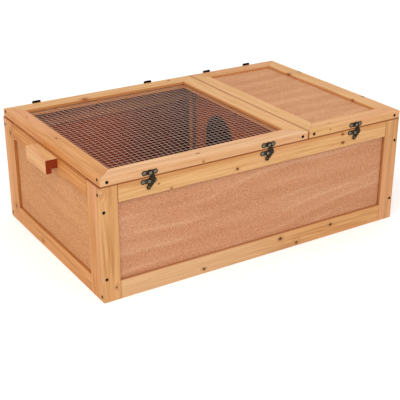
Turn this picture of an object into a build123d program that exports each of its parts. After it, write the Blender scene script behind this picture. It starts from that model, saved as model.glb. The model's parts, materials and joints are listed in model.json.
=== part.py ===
from build123d import *
import math
import os

# Tortoise house: a low pine and plywood box with two hinged lids. The longer lid is a
# mitred frame with wire mesh over the open run, the shorter one is panelled over the
# sleeping den. A divider with an arched doorway stands under the seam of the lids, and
# three swing-hook latches hold the lids shut.
# Millimetres. X runs along the house, Y from front to back, Z up. The origin is the
# centre of the footprint, on the floor.

# House
house_length = 940.0
house_depth = 606.0
base_height = 309.0
run_length = 616.0

# Pine frames of the walls
board_thickness = 20.0
stile_width = 48.0
top_rail_width = 47.0
bottom_rail_width = 50.0
eased_edge = 0.8

# Plywood wall panels, let into grooves of the frames
panel_thickness = 6.0
panel_recess = 8.0
panel_tongue = 8.0
groove_play = 0.5

# Plywood floor, let into grooves of the bottom rails
floor_thickness = 6.0
floor_height = 9.0
floor_tongue = 6.0

# Divider between run and den, with its two corner battens
divider_thickness = 6.0
divider_top_gap = 1.0
doorway_width = 160.0
doorway_height = 233.0
doorway_back_margin = 78.5
batten_width = 23.0
batten_thickness = 10.0

# Finger-pull handles on the end walls
handle_length = 126.0
handle_depth = 34.0
handle_top_drop = 2.5
handle_bar_height = 26.5
handle_lip_thickness = 17.0
handle_lip_drop = 12.0
handle_round = 4.0
handle_shift = -6.0

# Lid frames
lid_thickness = 22.0
lid_rail_width = 48.0
lid_seat_gap = 0.3
lid_seam_gap = 1.0
lid_left_inset = 3.0
lid_right_inset = 0.5
lid_panel_thickness = 6.0
lid_panel_recess = 6.5
lid_panel_tongue = 8.0

# Wire mesh, drawn with fewer gaps than the real one
mesh_thickness = 1.8
mesh_drop = 9.6
mesh_tongue = 9.0
mesh_gaps_along = 17
mesh_gaps_across = 17
mesh_bar_width = 2.0

# Butt hinges on the back, centred at shares of their lid's length
mesh_lid_hinge_shares = (0.163, 0.759)
solid_lid_hinge_shares = (0.203, 0.675)
hinge_width = 26.0
leaf_height = 28.5
leaf_thickness = 1.6
leaf_corner_radius = 3.0
knuckle_radius = 2.9
knuckle_count = 3
knuckle_end_gap = 0.3
knuckle_wall_gap = 0.2
hinge_pin_radius = 1.5
hinge_pin_clearance = 0.05
hinge_pin_head_radius = 2.3
hinge_pin_head_length = 1.0

# Swing-hook latches on the front, centred at shares of their lid's length
mesh_lid_latch_shares = (0.2168, 0.7878)
solid_lid_latch_shares = (0.501,)
plate_thickness = 1.2
plate_lobe_spacing = 30.5
plate_end_radius = 6.75
plate_middle_radius = 7.0
plate_waist = 12.0
pivot_above_seam = 11.0
keeper_below_seam = 10.7
keeper_shift = -3.5
hook_standoff = 1.3
rivet_radius = 2.0
rivet_clearance = 0.08
rivet_shoulder_radius = 4.0
rivet_head_radius = 3.8
rivet_head_height = 1.0
rivet_play = 0.3
stud_radius = 2.5
stud_head_radius = 3.8
stud_play = 0.3

# Hook of a latch, measured from its rivet
hook_thickness = 1.5
hook_boss_radius = 6.2
hook_band_width = 7.4
hook_bow = 9.8
hook_bow_drop = 17.0
hook_heel_drop = 33.0
hook_nose_radius = 4.8
hook_nose_side = 2.4
hook_nose_drop = 14.0
hook_throat_radius = 5.4
hook_throat_side = 3.6
hook_throat_drop = 21.5
hook_jaw_radius = 6.4
hook_jaw_drop = 30.5
hook_tail_radius = 6.2
hook_tail_hole_radius = 2.6
hook_tail_side = -4.6
hook_tail_drop = 36.2
hook_mouth_turn = 60.0

# Small rounds have few flat sides, which keeps the mesh light
small_round_sides = 12

os.makedirs("parts", exist_ok=True)

# Faces and levels of the house
left_x = -house_length / 2
right_x = house_length / 2
front_y = -house_depth / 2
back_y = house_depth / 2
inner_length = house_length - 2 * board_thickness
inner_depth = house_depth - 2 * board_thickness
floor_top = floor_height + floor_thickness
divider_height = base_height - divider_top_gap - floor_top
seam_x = left_x + run_length
lid_bottom = base_height + lid_seat_gap
lid_top = lid_bottom + lid_thickness
seam_z = base_height + lid_seat_gap / 2

# Each wall is drawn on its outer face, seen from outside, with X to the right
front_plane = Plane(origin=(0, front_y, 0), x_dir=(1, 0, 0), z_dir=(0, -1, 0))
back_plane = Plane(origin=(0, back_y, 0), x_dir=(-1, 0, 0), z_dir=(0, 1, 0))
left_plane = Plane(origin=(left_x, 0, 0), x_dir=(0, -1, 0), z_dir=(-1, 0, 0))
right_plane = Plane(origin=(right_x, 0, 0), x_dir=(0, 1, 0), z_dir=(1, 0, 0))

# Lids as (left end, right end)
mesh_lid_span = (left_x + lid_left_inset, seam_x - lid_seam_gap / 2)
solid_lid_span = (seam_x + lid_seam_gap / 2, right_x - lid_right_inset)


def places_along(span, shares):
    """Positions at the given shares of a lid's length."""
    return [span[0] + share * (span[1] - span[0]) for share in shares]


mesh_lid_hinges = places_along(mesh_lid_span, mesh_lid_hinge_shares)
solid_lid_hinges = places_along(solid_lid_span, solid_lid_hinge_shares)
mesh_lid_latches = places_along(mesh_lid_span, mesh_lid_latch_shares)
solid_lid_latches = places_along(solid_lid_span, solid_lid_latch_shares)


pivot_z = seam_z + pivot_above_seam
keeper_z = seam_z - keeper_below_seam
handle_top = base_height - handle_top_drop
all_hinges = mesh_lid_hinges + solid_lid_hinges
all_latches = mesh_lid_latches + solid_lid_latches

# Walls
panel_opening_height = base_height - top_rail_width - bottom_rail_width
panel_middle_z = bottom_rail_width + panel_opening_height / 2


def build_stile(plane, middle_x, inner_side, label):
    """Upright of a wall frame, grooved on its inner edge."""
    groove_x = middle_x + inner_side * (stile_width - panel_tongue) / 2
    with BuildPart() as stile:
        with BuildSketch(plane):
            with Locations((middle_x, base_height / 2)):
                Rectangle(stile_width, base_height)
        extrude(amount=-board_thickness)
        chamfer(stile.edges(), length=eased_edge)
        with BuildSketch(plane.offset(-panel_recess)):
            with Locations((groove_x, panel_middle_z)):
                Rectangle(panel_tongue, panel_opening_height + 2 * panel_tongue)
        extrude(amount=-panel_thickness, mode=Mode.SUBTRACT)
    stile.part.label = label
    export_step(stile.part, f"parts/{label}.step")


def build_top_rail(plane, rail_length, label):
    """Upper rail of a wall frame, grooved for the panel."""
    middle_z = base_height - top_rail_width / 2
    groove_z = base_height - top_rail_width + panel_tongue / 2
    with BuildPart() as rail:
        with BuildSketch(plane):
            with Locations((0, middle_z)):
                Rectangle(rail_length, top_rail_width)
        extrude(amount=-board_thickness)
        chamfer(rail.edges(), length=eased_edge)
        with BuildSketch(plane.offset(-panel_recess)):
            with Locations((0, groove_z)):
                Rectangle(rail_length, panel_tongue)
        extrude(amount=-panel_thickness, mode=Mode.SUBTRACT)
    rail.part.label = label
    export_step(rail.part, f"parts/{label}.step")


def build_bottom_rail(plane, rail_length, label):
    """Lower rail of a wall frame, grooved for the panel and for the floor."""
    groove_z = bottom_rail_width - panel_tongue / 2
    with BuildPart() as rail:
        with BuildSketch(plane):
            with Locations((0, bottom_rail_width / 2)):
                Rectangle(rail_length, bottom_rail_width)
        extrude(amount=-board_thickness)
        chamfer(rail.edges(), length=eased_edge)
        with BuildSketch(plane.offset(-panel_recess)):
            with Locations((0, groove_z)):
                Rectangle(rail_length, panel_tongue)
        extrude(amount=-panel_thickness, mode=Mode.SUBTRACT)
        with BuildSketch(plane.offset(-board_thickness)):
            with Locations((0, floor_height + floor_thickness / 2)):
                Rectangle(rail_length, floor_thickness)
        extrude(amount=floor_tongue, mode=Mode.SUBTRACT)
    rail.part.label = label
    export_step(rail.part, f"parts/{label}.step")


def build_panel(plane, rail_length, label):
    """Plywood panel whose edges lie in the grooves of its frame."""
    reach = panel_tongue - groove_play
    with BuildPart() as panel:
        with BuildSketch(plane.offset(-panel_recess)):
            with Locations((0, panel_middle_z)):
                Rectangle(rail_length + 2 * reach, panel_opening_height + 2 * reach)
        extrude(amount=-panel_thickness)
    panel.part.label = label
    export_step(panel.part, f"parts/{label}.step")


def build_wall(plane, width, wall, left_side, right_side):
    """Frame of two stiles and two rails round a panel, seen from outside."""
    rail_length = width - 2 * stile_width
    stile_x = (width - stile_width) / 2
    build_stile(plane, -stile_x, 1, f"{wall}_{left_side}_stile")
    build_stile(plane, stile_x, -1, f"{wall}_{right_side}_stile")
    build_top_rail(plane, rail_length, f"{wall}_top_rail")
    build_bottom_rail(plane, rail_length, f"{wall}_bottom_rail")
    build_panel(plane, rail_length, f"{wall}_panel")


build_wall(front_plane, house_length, "front", "left", "right")
build_wall(back_plane, house_length, "back", "right", "left")
build_wall(left_plane, inner_depth, "left_end", "back", "front")
build_wall(right_plane, inner_depth, "right_end", "front", "back")


# Floor, notched round the eight stiles
floor_reach = floor_tongue - groove_play
with BuildPart() as floor_panel:
    with BuildSketch(Plane.XY.offset(floor_height)):
        Rectangle(inner_length, inner_depth)
        Rectangle(house_length - 2 * stile_width, inner_depth + 2 * floor_reach)
        Rectangle(inner_length + 2 * floor_reach, inner_depth - 2 * stile_width)
    extrude(amount=floor_thickness)
floor_panel.part.label = "floor_panel"
export_step(floor_panel.part, "parts/floor_panel.step")


# Divider with its arched doorway, drawn on its run side with X towards the back
doorway_radius = doorway_width / 2
doorway_y = inner_depth / 2 - doorway_back_margin - doorway_radius
doorway_spring = doorway_height - doorway_radius
divider_plane = Plane(
    origin=(seam_x - divider_thickness / 2, 0, floor_top), x_dir=(0, 1, 0), z_dir=(1, 0, 0)
)
with BuildPart() as divider_panel:
    with BuildSketch(divider_plane):
        Rectangle(inner_depth, divider_height, align=(Align.CENTER, Align.MIN))
        with BuildLine():
            left_jamb = Line(
                (doorway_y - doorway_radius, 0), (doorway_y - doorway_radius, doorway_spring)
            )
            arch = ThreePointArc(
                left_jamb @ 1,
                (doorway_y, doorway_height),
                (doorway_y + doorway_radius, doorway_spring),
            )
            right_jamb = Line(arch @ 1, (doorway_y + doorway_radius, 0))
            Line(right_jamb @ 1, left_jamb @ 0)
        make_face(mode=Mode.SUBTRACT)
    extrude(amount=divider_thickness)
divider_panel.part.label = "divider_panel"
export_step(divider_panel.part, "parts/divider_panel.step")


def build_batten(side, label):
    """Upright strip in the corner between the divider and a long wall."""
    middle_x = seam_x - (divider_thickness + batten_thickness) / 2
    middle_y = side * (inner_depth - batten_width) / 2
    with BuildPart() as batten:
        with BuildSketch(Plane.XY.offset(floor_top)):
            with Locations((middle_x, middle_y)):
                Rectangle(batten_thickness, batten_width)
        extrude(amount=divider_height)
        chamfer(batten.edges().filter_by(Axis.Z), length=eased_edge)
    batten.part.label = label
    export_step(batten.part, f"parts/{label}.step")


build_batten(-1, "divider_batten_front")
build_batten(1, "divider_batten_back")


def build_handle(wall_x, outward, label):
    """Bar across an end wall, rebated behind its lip for the fingers."""
    section_plane = Plane(
        origin=(wall_x, handle_shift, handle_top), x_dir=(outward, 0, 0), z_dir=(0, -outward, 0)
    )
    lip_bottom = -handle_bar_height - handle_lip_drop
    lip_back = handle_depth - handle_lip_thickness
    with BuildPart() as handle:
        with BuildSketch(section_plane):
            with BuildLine():
                Polyline(
                    (0, 0),
                    (handle_depth, 0),
                    (handle_depth, lip_bottom),
                    (lip_back, lip_bottom),
                    (lip_back, -handle_bar_height),
                    (0, -handle_bar_height),
                    close=True,
                )
            section = make_face()
            fillet(section.vertices().group_by(Axis.Y)[0], radius=handle_round)
        extrude(amount=handle_length / 2, both=True)
        chamfer(handle.faces().filter_by(Axis.Y).edges(), length=eased_edge)
    handle.part.label = label
    export_step(handle.part, f"parts/{label}.step")


build_handle(left_x, -1, "left_handle")
build_handle(right_x, 1, "right_handle")


# Lids
def build_lid_rail(plane, rail_length, grain, groove_bottom, groove_height, groove_depth, label):
    """Mitred rail, drawn from its outer edge inwards and grooved on its inner edge."""
    half = rail_length / 2
    with BuildPart() as rail:
        with BuildSketch(plane):
            with BuildLine():
                Polyline(
                    (-half, 0),
                    (half, 0),
                    (half - lid_rail_width, lid_rail_width),
                    (-half + lid_rail_width, lid_rail_width),
                    close=True,
                )
            make_face()
        extrude(amount=lid_thickness)
        chamfer(rail.edges().filter_by(grain), length=eased_edge)
        with BuildSketch(plane.offset(groove_bottom)):
            with Locations((0, lid_rail_width - groove_depth / 2)):
                Rectangle(rail_length, groove_depth)
        extrude(amount=groove_height, mode=Mode.SUBTRACT)
    rail.part.label = label
    export_step(rail.part, f"parts/{label}.step")


def build_lid_frame(span, groove_bottom, groove_height, groove_depth, lid):
    """Four mitred rails of a lid."""
    middle_x = (span[0] + span[1]) / 2
    length = span[1] - span[0]
    groove = (groove_bottom, groove_height, groove_depth)
    front = Plane(origin=(middle_x, front_y, lid_bottom), x_dir=(1, 0, 0), z_dir=(0, 0, 1))
    back = Plane(origin=(middle_x, back_y, lid_bottom), x_dir=(-1, 0, 0), z_dir=(0, 0, 1))
    left = Plane(origin=(span[0], 0, lid_bottom), x_dir=(0, -1, 0), z_dir=(0, 0, 1))
    right = Plane(origin=(span[1], 0, lid_bottom), x_dir=(0, 1, 0), z_dir=(0, 0, 1))
    build_lid_rail(front, length, Axis.X, *groove, f"{lid}_front_rail")
    build_lid_rail(back, length, Axis.X, *groove, f"{lid}_back_rail")
    build_lid_rail(left, house_depth, Axis.Y, *groove, f"{lid}_left_rail")
    build_lid_rail(right, house_depth, Axis.Y, *groove, f"{lid}_right_rail")


mesh_bottom = lid_thickness - mesh_drop - mesh_thickness
build_lid_frame(mesh_lid_span, mesh_bottom, mesh_thickness, mesh_tongue, "mesh_lid")
lid_panel_bottom = lid_thickness - lid_panel_recess - lid_panel_thickness
build_lid_frame(
    solid_lid_span, lid_panel_bottom, lid_panel_thickness, lid_panel_tongue, "solid_lid"
)

# Wire mesh as one holed sheet, its rim in the kerf of the rails
mesh_opening_length = mesh_lid_span[1] - mesh_lid_span[0] - 2 * lid_rail_width
mesh_opening_depth = house_depth - 2 * lid_rail_width
mesh_reach = mesh_tongue - groove_play
mesh_pitch_along = (mesh_opening_length + mesh_bar_width) / mesh_gaps_along
mesh_pitch_across = (mesh_opening_depth + mesh_bar_width) / mesh_gaps_across
with BuildPart() as wire_mesh:
    with BuildSketch(Plane.XY.offset(lid_bottom + mesh_bottom)):
        with Locations(((mesh_lid_span[0] + mesh_lid_span[1]) / 2, 0)):
            Rectangle(mesh_opening_length + 2 * mesh_reach, mesh_opening_depth + 2 * mesh_reach)
            with GridLocations(
                mesh_pitch_along, mesh_pitch_across, mesh_gaps_along, mesh_gaps_across
            ):
                Rectangle(
                    mesh_pitch_along - mesh_bar_width,
                    mesh_pitch_across - mesh_bar_width,
                    mode=Mode.SUBTRACT,
                )
    extrude(amount=mesh_thickness)
wire_mesh.part.label = "wire_mesh"
export_step(wire_mesh.part, "parts/wire_mesh.step")

# Panel of the solid lid
lid_panel_reach = lid_panel_tongue - groove_play - lid_rail_width
with BuildPart() as solid_lid_panel:
    with BuildSketch(Plane.XY.offset(lid_bottom + lid_panel_bottom)):
        with Locations(((solid_lid_span[0] + solid_lid_span[1]) / 2, 0)):
            Rectangle(
                solid_lid_span[1] - solid_lid_span[0] + 2 * lid_panel_reach,
                house_depth + 2 * lid_panel_reach,
            )
    extrude(amount=lid_panel_thickness)
solid_lid_panel.part.label = "solid_lid_panel"
export_step(solid_lid_panel.part, "parts/solid_lid_panel.step")


def small_round(plane, radius):
    """Section of a pin, knuckle, stud or rivet, its corners on the radius."""
    with BuildSketch(plane) as outline:
        RegularPolygon(radius, small_round_sides)
    return outline.sketch


def small_bore(plane, radius):
    """Section of a bore, its flats on the radius."""
    with BuildSketch(plane) as outline:
        RegularPolygon(radius, small_round_sides, major_radius=False)
    return outline.sketch


# Hinges
hinge_axis_y = back_y + knuckle_radius + knuckle_wall_gap
knuckle_length = (hinge_width - (knuckle_count - 1) * knuckle_end_gap) / knuckle_count
leaf_start = knuckle_radius + knuckle_end_gap


def build_leaf(hinge_x, upward, knuckle_numbers, label):
    """Leaf of a butt hinge with its knuckles rolled round the pin's axis."""
    step = knuckle_length + knuckle_end_gap
    starts = [hinge_x - hinge_width / 2 + number * step for number in knuckle_numbers]
    leaf_plane = Plane(origin=(hinge_x, back_y, seam_z), x_dir=(-1, 0, 0), z_dir=(0, 1, 0))
    with BuildPart() as leaf:
        with BuildSketch(leaf_plane):
            with Locations((0, upward * (leaf_start + leaf_height) / 2)):
                sheet = Rectangle(hinge_width, leaf_height - leaf_start)
            outer_corners = sheet.vertices().sort_by(Axis.Y)
            fillet(outer_corners[-2:] if upward > 0 else outer_corners[:2], leaf_corner_radius)
            for start in starts:
                with Locations((hinge_x - start - knuckle_length / 2, upward * leaf_start / 2)):
                    Rectangle(knuckle_length, leaf_start)
        extrude(amount=leaf_thickness)
        for start in starts:
            knuckle_end = Plane(origin=(start, hinge_axis_y, seam_z), z_dir=(1, 0, 0))
            extrude(small_round(knuckle_end, knuckle_radius), amount=knuckle_length)
        pin_middle = Plane(origin=(hinge_x, hinge_axis_y, seam_z), z_dir=(1, 0, 0))
        pin_bore = small_bore(pin_middle, hinge_pin_radius + hinge_pin_clearance)
        extrude(pin_bore, amount=hinge_width, both=True, mode=Mode.SUBTRACT)
    leaf.part.label = label
    export_step(leaf.part, f"parts/{label}.step")


base_knuckles = range(0, knuckle_count, 2)
lid_knuckles = range(1, knuckle_count, 2)
for number, hinge_x in enumerate(all_hinges, start=1):
    build_leaf(hinge_x, -1, base_knuckles, f"hinge_{number}_base_leaf")
    build_leaf(hinge_x, 1, lid_knuckles, f"hinge_{number}_lid_leaf")

with BuildPart() as hinge_pins:
    for hinge_x in all_hinges:
        pin_end = Plane(
            origin=(hinge_x - hinge_width / 2 - knuckle_end_gap, hinge_axis_y, seam_z),
            z_dir=(1, 0, 0),
        )
        pin_length = hinge_width + 2 * knuckle_end_gap
        extrude(small_round(pin_end, hinge_pin_radius), amount=pin_length)
        far_end = pin_end.offset(pin_length + hinge_pin_head_length)
        for head_face in (pin_end, far_end):
            extrude(small_round(head_face, hinge_pin_head_radius), amount=-hinge_pin_head_length)
hinge_pins.part.label = "hinge_pins"
export_step(hinge_pins.part, "parts/hinge_pins.step")


# Latches, drawn on the front with X to the right and Y up
hook_level = plate_thickness + hook_standoff
hook_outer_level = hook_level + hook_thickness


def plate_sheet(plane):
    """Thin plate with a round lobe at each screw and one in the middle."""
    with BuildSketch(plane) as outline:
        Rectangle(plate_lobe_spacing, plate_waist)
        Circle(plate_middle_radius)
        with Locations((-plate_lobe_spacing / 2, 0), (plate_lobe_spacing / 2, 0)):
            Circle(plate_end_radius)
    return outline.sketch


def build_pivot_plate(latch_x, label):
    """Plate on the lid, with the shouldered rivet that the hook turns on."""
    plane = Plane(origin=(latch_x, front_y, pivot_z), x_dir=(1, 0, 0), z_dir=(0, -1, 0))
    shoulder = hook_level - rivet_play
    head_level = hook_outer_level + rivet_play
    with BuildPart() as plate:
        extrude(plate_sheet(plane), amount=plate_thickness)
        extrude(small_round(plane, rivet_shoulder_radius), amount=shoulder)
        extrude(small_round(plane, rivet_radius), amount=head_level)
        head_plane = plane.offset(head_level)
        extrude(small_round(head_plane, rivet_head_radius), amount=rivet_head_height)
    plate.part.label = label
    export_step(plate.part, f"parts/{label}.step")


def build_keeper(latch_x, label):
    """Plate on the base, with the headed stud that the hook catches."""
    keeper_x = latch_x + keeper_shift
    plane = Plane(origin=(keeper_x, front_y, keeper_z), x_dir=(1, 0, 0), z_dir=(0, -1, 0))
    head_level = hook_outer_level + stud_play
    with BuildPart() as keeper:
        extrude(plate_sheet(plane), amount=plate_thickness)
        extrude(small_round(plane, stud_radius), amount=head_level)
        head_plane = plane.offset(head_level)
        extrude(small_round(head_plane, stud_head_radius), amount=rivet_head_height)
    keeper.part.label = label
    export_step(keeper.part, f"parts/{label}.step")


stud_drop = pivot_above_seam + keeper_below_seam
stud_reach = math.hypot(keeper_shift, stud_drop)
stud_angle = math.degrees(math.atan2(-stud_drop, keeper_shift))
mouth_path = CenterArc((0, 0), stud_reach, stud_angle, -hook_mouth_turn)


def build_hook(latch_x, label):
    """Bowed hook whose mouth is an arc round the rivet, so that it swings off the stud."""
    plane = Plane(
        origin=(latch_x, front_y - hook_level, pivot_z), x_dir=(1, 0, 0), z_dir=(0, -1, 0)
    )
    with BuildPart() as hook:
        with BuildSketch(plane):
            with BuildLine():
                ThreePointArc((0, 0), (hook_bow, -hook_bow_drop), (0, -hook_heel_drop))
            trace(line_width=hook_band_width)
            Circle(hook_boss_radius)
            with Locations((hook_nose_side, -hook_nose_drop)):
                Circle(hook_nose_radius)
            with Locations((hook_throat_side, -hook_throat_drop)):
                Circle(hook_throat_radius)
            with Locations((0, -hook_jaw_drop)):
                Circle(hook_jaw_radius)
            with Locations((hook_tail_side, -hook_tail_drop)):
                Circle(hook_tail_radius)
                Circle(hook_tail_hole_radius, mode=Mode.SUBTRACT)
            RegularPolygon(
                rivet_radius + rivet_clearance,
                small_round_sides,
                major_radius=False,
                mode=Mode.SUBTRACT,
            )
            SlotArc(mouth_path, 2 * (stud_radius + stud_play), mode=Mode.SUBTRACT)
        extrude(amount=hook_thickness)
    hook.part.label = label
    export_step(hook.part, f"parts/{label}.step")


for number, latch_x in enumerate(all_latches, start=1):
    build_pivot_plate(latch_x, f"latch_{number}_pivot_plate")
    build_keeper(latch_x, f"latch_{number}_keeper")
    build_hook(latch_x, f"latch_{number}_hook")
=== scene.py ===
"""Looks of a wooden tortoise house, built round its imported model.

The boards and panels are the model's own solids, which get wood finishes here. The wire
mesh, latches, hinges and screws are made again in finer detail and stand for their solids.
Lengths are metres in the model's frame: X along the house, Y from front to back, Z up.
"""

import json
import logging
import math
from dataclasses import dataclass, field
from enum import Enum
from functools import cached_property

import bmesh
import bpy
import numpy as np
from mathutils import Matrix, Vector

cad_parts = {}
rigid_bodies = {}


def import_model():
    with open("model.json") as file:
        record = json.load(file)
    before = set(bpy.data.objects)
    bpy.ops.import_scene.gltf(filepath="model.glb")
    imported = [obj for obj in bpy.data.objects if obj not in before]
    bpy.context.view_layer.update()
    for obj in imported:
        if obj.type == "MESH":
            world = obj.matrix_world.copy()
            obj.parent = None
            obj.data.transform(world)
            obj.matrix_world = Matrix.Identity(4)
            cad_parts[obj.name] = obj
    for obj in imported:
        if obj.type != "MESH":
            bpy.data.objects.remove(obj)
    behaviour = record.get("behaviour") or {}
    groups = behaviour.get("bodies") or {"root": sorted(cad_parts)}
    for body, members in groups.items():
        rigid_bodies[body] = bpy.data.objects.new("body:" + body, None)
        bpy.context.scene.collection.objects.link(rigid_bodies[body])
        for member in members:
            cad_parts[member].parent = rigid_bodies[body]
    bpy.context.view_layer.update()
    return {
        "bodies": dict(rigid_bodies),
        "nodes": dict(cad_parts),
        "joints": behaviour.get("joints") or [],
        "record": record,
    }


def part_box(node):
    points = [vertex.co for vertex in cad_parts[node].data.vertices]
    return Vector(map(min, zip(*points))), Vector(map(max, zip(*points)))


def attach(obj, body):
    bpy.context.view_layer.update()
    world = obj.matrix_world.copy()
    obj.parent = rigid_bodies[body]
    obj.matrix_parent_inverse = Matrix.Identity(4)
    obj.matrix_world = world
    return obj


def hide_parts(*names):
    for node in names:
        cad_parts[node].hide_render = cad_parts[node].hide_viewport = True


LOG = logging.getLogger("tortoise_house")
MM = 0.001

Point = tuple[float, float, float]
Socket = bpy.types.NodeSocket
Colour = Socket | tuple[float, float, float, float]
Inputs = dict[str | int, object] | tuple
Nodes = dict[str, bpy.types.Object]

NOWHERE = (0.0, 0.0, 0.0)
RIGHTWARD = (1.0, 0.0, 0.0)
LEFTWARD = (-1.0, 0.0, 0.0)
BACKWARD = (0.0, 1.0, 0.0)
FORWARD = (0.0, -1.0, 0.0)
UP = (0.0, 0.0, 1.0)
DOWN = (0.0, 0.0, -1.0)
FRONT = (RIGHTWARD, FORWARD)
BACK = (LEFTWARD, BACKWARD)
LEFT = (FORWARD, LEFTWARD)
RIGHT = (BACKWARD, RIGHTWARD)
ALONG_PIN = (BACKWARD, RIGHTWARD)

# Noise lies mostly between these levels
NOISE_REACH = (0.3, 0.7)
# Dark wood through one growth ring: place in the ring, and share
RING_PROFILE = ((0.0, 0.0), (0.45, 0.12), (0.8, 0.85), (0.92, 0.8), (1.0, 0.0))
# Pale contour through one band of peeled veneer: place in the band, and share
CONTOUR_PROFILE = ((0.0, 0.0), (0.26, 0.1), (0.46, 1.0), (0.6, 0.3), (1.0, 0.0))
# Dished head of a rivet: share of its radius, height over its underside, and wear
RIVET_HEAD = (
    (1.0, 0.0, 0.0),
    (1.0, 0.3 * MM, 0.3),
    (0.9, 0.62 * MM, 0.9),
    (0.62, 0.84 * MM, 1.0),
    (0.36, 0.6 * MM, 0.1),
    (0.0, 0.5 * MM, 0.0),
)
# Domed end of a hinge pin: radius, and height past the knuckles
PIN_END = ((0.0, 1.3 * MM), (1.2 * MM, 1.15 * MM), (2.0 * MM, 0.7 * MM), (2.3 * MM, 0.3 * MM))


class Grain(Enum):
    """Direction that the fibres of a board or a face veneer run in."""

    ALONG_X = 0
    ALONG_Y = 1
    ALONG_Z = 2


class Tone(Enum):
    """How the honey stain took on a board: pale, middle and dark wood as sRGB."""

    ROSY = ("#EDBF93", "#DFAC7C", "#C48A54")
    PALE = ("#E8B67C", "#DAA36A", "#BC7E44")
    HONEY = ("#E0AA70", "#D2975F", "#B0703A")
    AMBER = ("#DFA165", "#CD8A4C", "#A8642C")
    ORANGE = ("#DD9A55", "#CA8242", "#A25C26")
    RUSSET = ("#C07A40", "#A86230", "#7A4018")


def linear(code: str) -> tuple[float, float, float, float]:
    """Turns an sRGB hex colour into the linear colour that a socket takes.

    Args:
        code: colour such as "#D39D66".

    Returns:
        Linear red, green, blue and an alpha of 1.
    """
    parts = [int(code[start : start + 2], 16) / 255 for start in (1, 3, 5)]
    curved = [part / 12.92 if part <= 0.04045 else ((part + 0.055) / 1.055) ** 2.4 for part in parts]
    return (*curved, 1.0)


class Recipe:
    """Node tree of one finish, or of the surroundings, while it is put together."""

    def __init__(self, owner: bpy.types.Material | bpy.types.World) -> None:
        """Starts with an empty tree.

        Args:
            owner: the material or the world that holds the tree.
        """
        owner.use_nodes = True
        self.owner = owner
        self.tree = owner.node_tree
        self.tree.nodes.clear()

    @cached_property
    def coords(self) -> Socket:
        """Place on the piece, in its own space."""
        return self.add("TexCoord", output="Object")

    def add(self, kind: str, inputs: Inputs = (), output: str | int = 0, **settings: object) -> Socket | None:
        """Adds one shader node with its settings and links.

        Args:
            kind: Blender's name of the node without its first part, such as "Math".
            inputs: sockets to link, or values to set, in order or by name or number.
            output: name or number of the output that is used.
            **settings: node properties by name; "stops" fills a ramp with places and levels.

        Returns:
            The output's socket, or None where a tree ends.
        """
        node = self.tree.nodes.new("ShaderNode" + kind)
        stops = settings.pop("stops", ())
        for name, value in settings.items():
            setattr(node, name, value)
        if stops:
            ramp = node.color_ramp.elements
            while len(ramp) < len(stops):
                ramp.new(0.5)
            for element, (place, level) in zip(ramp, stops):
                element.position = place
                element.color = (level, level, level, 1)
        for key, value in (inputs if isinstance(inputs, dict) else dict(enumerate(inputs))).items():
            if isinstance(value, Socket):
                self.tree.links.new(value, node.inputs[key])
            else:
                node.inputs[key].default_value = value
        return node.outputs[output] if node.outputs else None

    def patches(
        self,
        sizes: Point,
        shift: float,
        layers: float = 2.0,
        place: Socket | None = None,
        output: str | int = 0,
    ) -> Socket:
        """Cloudy pattern whose patches have a given size along each axis.

        Args:
            sizes: size of a patch along X, Y and Z.
            shift: moves the pattern, so that pieces differ.
            layers: number of finer layers.
            place: coordinates to read in place of the piece's own.
            output: name or number of the pattern's output.

        Returns:
            The pattern, which lies about 0.5.
        """
        cycles = tuple(1 / size for size in sizes)
        offset = (shift, shift * 1.7, shift * 2.3)
        placed = self.add("Mapping", {"Vector": place or self.coords, "Scale": cycles, "Location": offset})
        return self.add("TexNoise", {"Vector": placed, "Scale": 1.0, "Detail": layers}, output)

    def stain(
        self,
        colour: Colour,
        shade: str | Colour,
        mark: Socket,
        start: float = 0.0,
        end: float = 1.0,
        low: float = 0.0,
        high: float = 1.0,
    ) -> Socket:
        """Lays a shade over a colour; its share runs from low to high as a mark runs from start to end.

        Args:
            colour: what is there already.
            shade: what is laid over it, as an sRGB hex code or a linear colour.
            mark: pattern or share that says where.
            start: mark at which the share is low.
            end: mark at which the share is high.
            low: share of the shade at the start.
            high: share of the shade at the end.

        Returns:
            The stained colour.
        """
        share = self.add("MapRange", (mark, start, end, low, high))
        over = linear(shade) if isinstance(shade, str) else shade
        return self.add("Mix", {0: share, 6: colour, 7: over}, 2, data_type="RGBA")

    def finish(self, colour: Colour, constants: Inputs, height: Socket, depth: float) -> bpy.types.Material:
        """Ends the tree in one principled surface.

        Args:
            colour: colour of the surface.
            constants: further inputs of the surface by name.
            height: pattern of the relief.
            depth: height of the relief in metres.

        Returns:
            The finished material.
        """
        bump = self.add("Bump", {"Strength": 1.0, "Distance": depth, "Height": height})
        surface = self.add("BsdfPrincipled", {"Base Color": colour, "Normal": bump, **constants})
        self.add("OutputMaterial", {"Surface": surface})
        return self.owner


@dataclass(frozen=True)
class Figure:
    """Pattern in wood: its length along the grain, its width across it, and its finer layers.

    It shows from nothing to its full share between two levels of the pattern.
    """

    length: float
    width: float
    layers: float = 2.0
    levels: tuple[float, float] = NOISE_REACH


@dataclass(frozen=True)
class Knot:
    """Knot in a board: its middle, its radius, the colour of its heart and of its halo.

    Heart and halo each fall from one share to another between two distances in knot radii.
    """

    place: Point
    radius: float
    heart: str = "#6B3413"
    halo: str = "#B5682C"
    heart_fall: tuple[float, ...] = (0.55, 1.15, 0.9, 0.0)
    halo_fall: tuple[float, ...] = (0.9, 2.6, 0.5, 0.0)


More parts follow.
